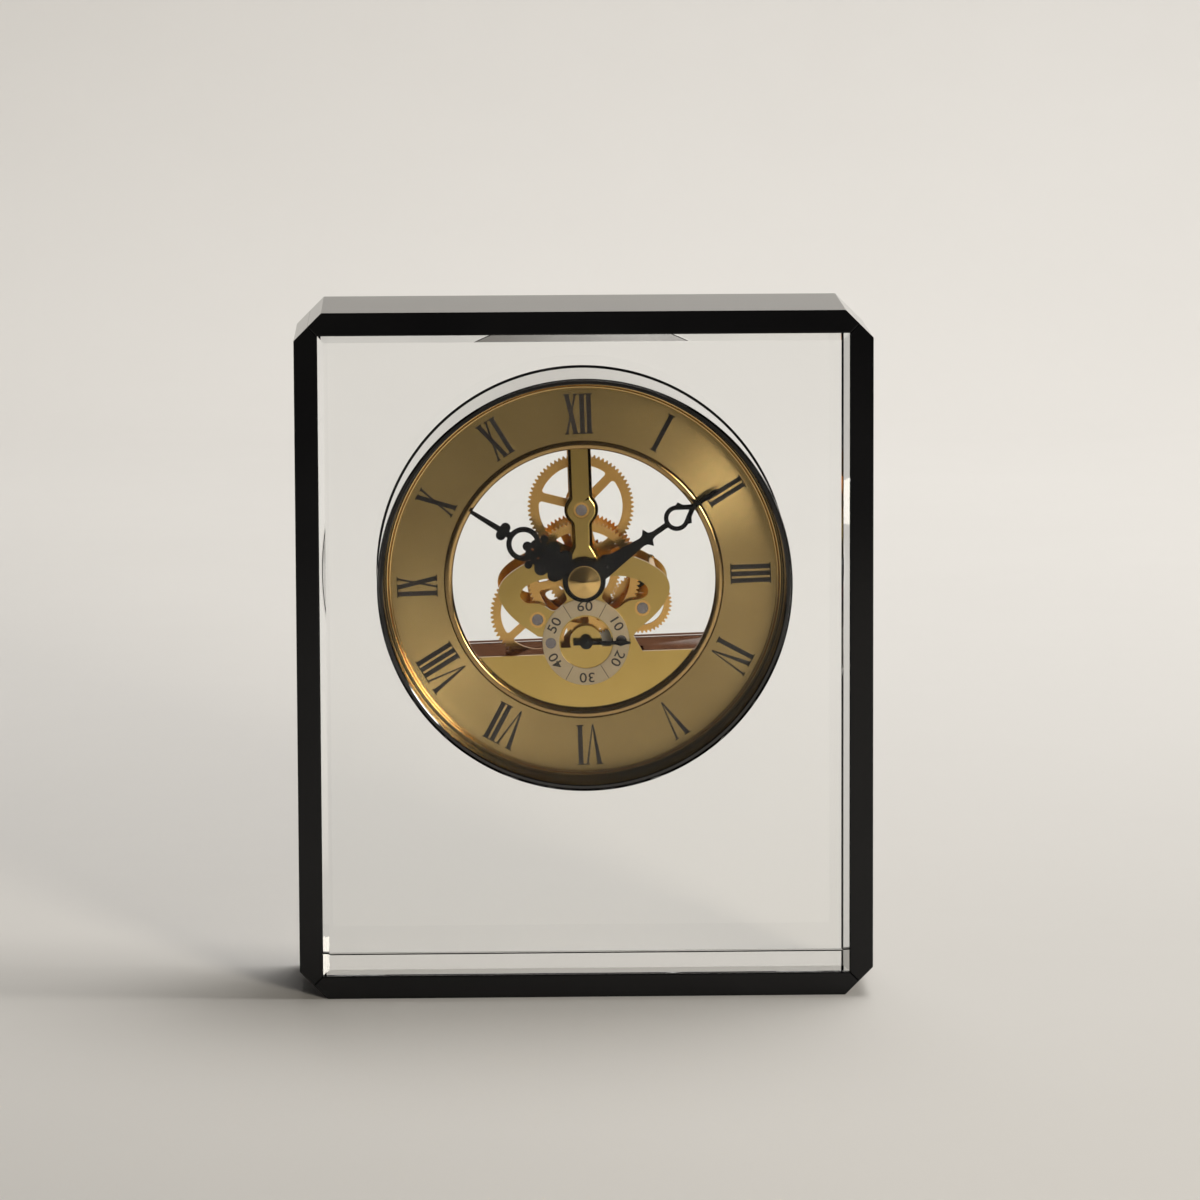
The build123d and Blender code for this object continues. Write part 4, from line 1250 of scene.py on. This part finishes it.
@dataclass
class Edges:
    """Softens the edges of flat CAD nodes so that they catch the light."""

    widths: dict[str, float] = field(
        default_factory=lambda: {
            "upper_arm": 0.1,
            "minute_hand": 0.05,
            "hour_hand": 0.05,
            "second_hand": 0.05,
            "subdial_ring": 0.06,
            "left_panel": 0.25,
            "right_panel": 0.25,
            "bottom_panel": 0.25,
            "top_panel": 0.25,
            "battery_cover": 0.15,
            "base_housing": 0.15,
            "setting_knob": 0.1,
        }
    )
    weld_distance: float = 5 * MICRON
    segments: int = 2
    sharp: float = 40.0

    def build(self) -> None:
        """Adds the modifiers."""
        for node, width in self.widths.items():
            piece = frame["nodes"][node]
            weld = piece.modifiers.new("weld", "WELD")
            weld.merge_threshold = self.weld_distance
            bevel = piece.modifiers.new("soft_edges", "BEVEL")
            bevel.width = width * MM
            bevel.segments = self.segments
            bevel.limit_method = "ANGLE"
            bevel.angle_limit = math.radians(self.sharp)
            bevel.use_clamp_overlap = True
            LOG.info("softened %s", node)


@dataclass(frozen=True)
class Lamp:
    """Soft rectangular light: size in metres, power in watts, spread in degrees."""

    name: str
    place: Place
    target: Place
    size: Point
    power: float
    colour: Colour
    spread: float

    def build(self) -> None:
        """Adds the light, facing its target."""
        data = bpy.data.lights.new(self.name, "AREA")
        data.shape = "RECTANGLE"
        data.size, data.size_y = self.size
        data.energy = self.power
        data.color = self.colour
        data.spread = math.radians(self.spread)
        lamp = bpy.data.objects.new(self.name, data)
        bpy.context.scene.collection.objects.link(lamp)
        turn = (Vector(self.target) - Vector(self.place)).to_track_quat("-Z", "Y")
        lamp.matrix_world = Matrix.Translation(self.place) @ turn.to_matrix().to_4x4()


CLOCK_MIDDLE = (0.0, 0.0, 0.08)
LAMPS = (
    Lamp("key", (1.5, -0.1, 0.95), CLOCK_MIDDLE, (0.4, 0.4), 3.9, (1.0, 0.985, 0.95), 110),
    Lamp("top", (0.4, 0.9, 1.9), (0.1, 0.75, 0.0), (1.8, 1.0), 11.0, (1.0, 0.995, 0.98), 95),
    Lamp("backdrop", (1.6, 0.5, 1.5), (0.5, 1.6, 0.35), (0.8, 0.8), 4.4, (1.0, 0.995, 0.985), 90),
    Lamp("card", (0.46, -1.12, 0.25), CLOCK_MIDDLE, (0.2, 0.26), 1.1, (1.0, 0.93, 0.8), 60),
)


@dataclass
class Studio:
    """Pale sweep, soft lights and the camera at the photograph's angle."""

    wardrobe: Wardrobe
    camera_place: Place = (-0.03214, -1.48165, 0.28619)
    camera_heading: Place = (0.02398, 0.99059, -0.13476)
    camera_roll: float = -0.243
    focal_length: float = 204.53
    sensor_width: float = 36.0
    clipping: Span = (0.05, 50.0)
    sweep_radius: float = 0.5
    sweep_steps: int = 16
    floor_front: float = -2.6
    wall_back: float = 1.6
    floor_half: float = 3.0
    wall_height: float = 2.6
    air: Colour = (0.97, 0.98, 1.0)
    ambient: float = 0.04

    def camera(self) -> None:
        """Makes the camera and sets it."""
        lens = bpy.data.cameras.new("camera")
        lens.sensor_width = self.sensor_width
        lens.lens = self.focal_length
        lens.clip_start, lens.clip_end = self.clipping
        eye = bpy.data.objects.new("camera", lens)
        bpy.context.scene.collection.objects.link(eye)
        turn = Vector(self.camera_heading).to_track_quat("-Z", "Y").to_matrix().to_4x4()
        roll = Matrix.Rotation(math.radians(self.camera_roll), 4, "Z")
        eye.matrix_world = Matrix.Translation(self.camera_place) @ turn @ roll
        bpy.context.scene.camera = eye
        bpy.context.scene.view_settings.view_transform = "Standard"

    def sweep_outline(self) -> list[Point]:
        """Side view of the floor and the backdrop.

        Returns:
            Points as depth and height in metres, from the front to the top.
        """
        radius = self.sweep_radius
        bend = self.wall_back - radius
        outline = [(self.floor_front, 0.0), (bend, 0.0)]
        for step in range(1, self.sweep_steps + 1):
            angle = math.pi / 2 * step / self.sweep_steps
            outline.append((bend + radius * math.sin(angle), radius - radius * math.cos(angle)))
        outline.append((self.wall_back, self.wall_height))
        return outline

    def floor(self) -> None:
        """Makes the floor, which curves up into the backdrop."""
        outline = self.sweep_outline()
        rows = len(outline) - 1
        deselect()
        bpy.ops.mesh.primitive_grid_add(x_subdivisions=1, y_subdivisions=rows, size=1.0)
        sweep = bpy.context.active_object
        name_piece(sweep, "studio_sweep")
        for vertex in sweep.data.vertices:
            depth, height = outline[round((vertex.co.y + 0.5) * rows)]
            vertex.co = (math.copysign(self.floor_half, vertex.co.x), depth, height)
        bpy.ops.object.shade_smooth()
        effects = self.wardrobe.effects
        paper = Shading("paper", effects)
        paper.tone((0.70, 0.675, 0.64), (0.72, 0.695, 0.66), 3.0)
        even = STRETCHES[Grain.FINE]
        fibres = paper.use(effects.straight, Stretch=even, Fineness=40.0, Low=0.75, High=0.85)
        paper.surface(fibres, 0)
        sweep.data.materials.append(paper.material)

    def surroundings(self) -> None:
        """Makes the faint light from all sides."""
        world = bpy.data.worlds.new("studio")
        world.use_nodes = True
        background = world.node_tree.nodes["Background"]
        background.inputs["Color"].default_value = (*self.air, 1)
        background.inputs["Strength"].default_value = self.ambient
        bpy.context.scene.world = world

    def build(self) -> None:
        """Makes the whole studio."""
        self.camera()
        self.floor()
        self.surroundings()
        for lamp in LAMPS:
            lamp.build()
        LOG.info("built studio")


def main() -> None:
    """Builds every sub-assembly in order."""
    logging.basicConfig(level=logging.INFO, format="%(message)s")
    wardrobe = Wardrobe()
    wardrobe.dress_frame()
    CrystalBlock(wardrobe).build()
    DialRings(wardrobe).build()
    HourNumerals(wardrobe).build()
    SecondsPrint(wardrobe).build()
    SecondsBoss(wardrobe).build()
    Edges().build()
    Studio(wardrobe).build()


if __name__ == "__main__":
    main()
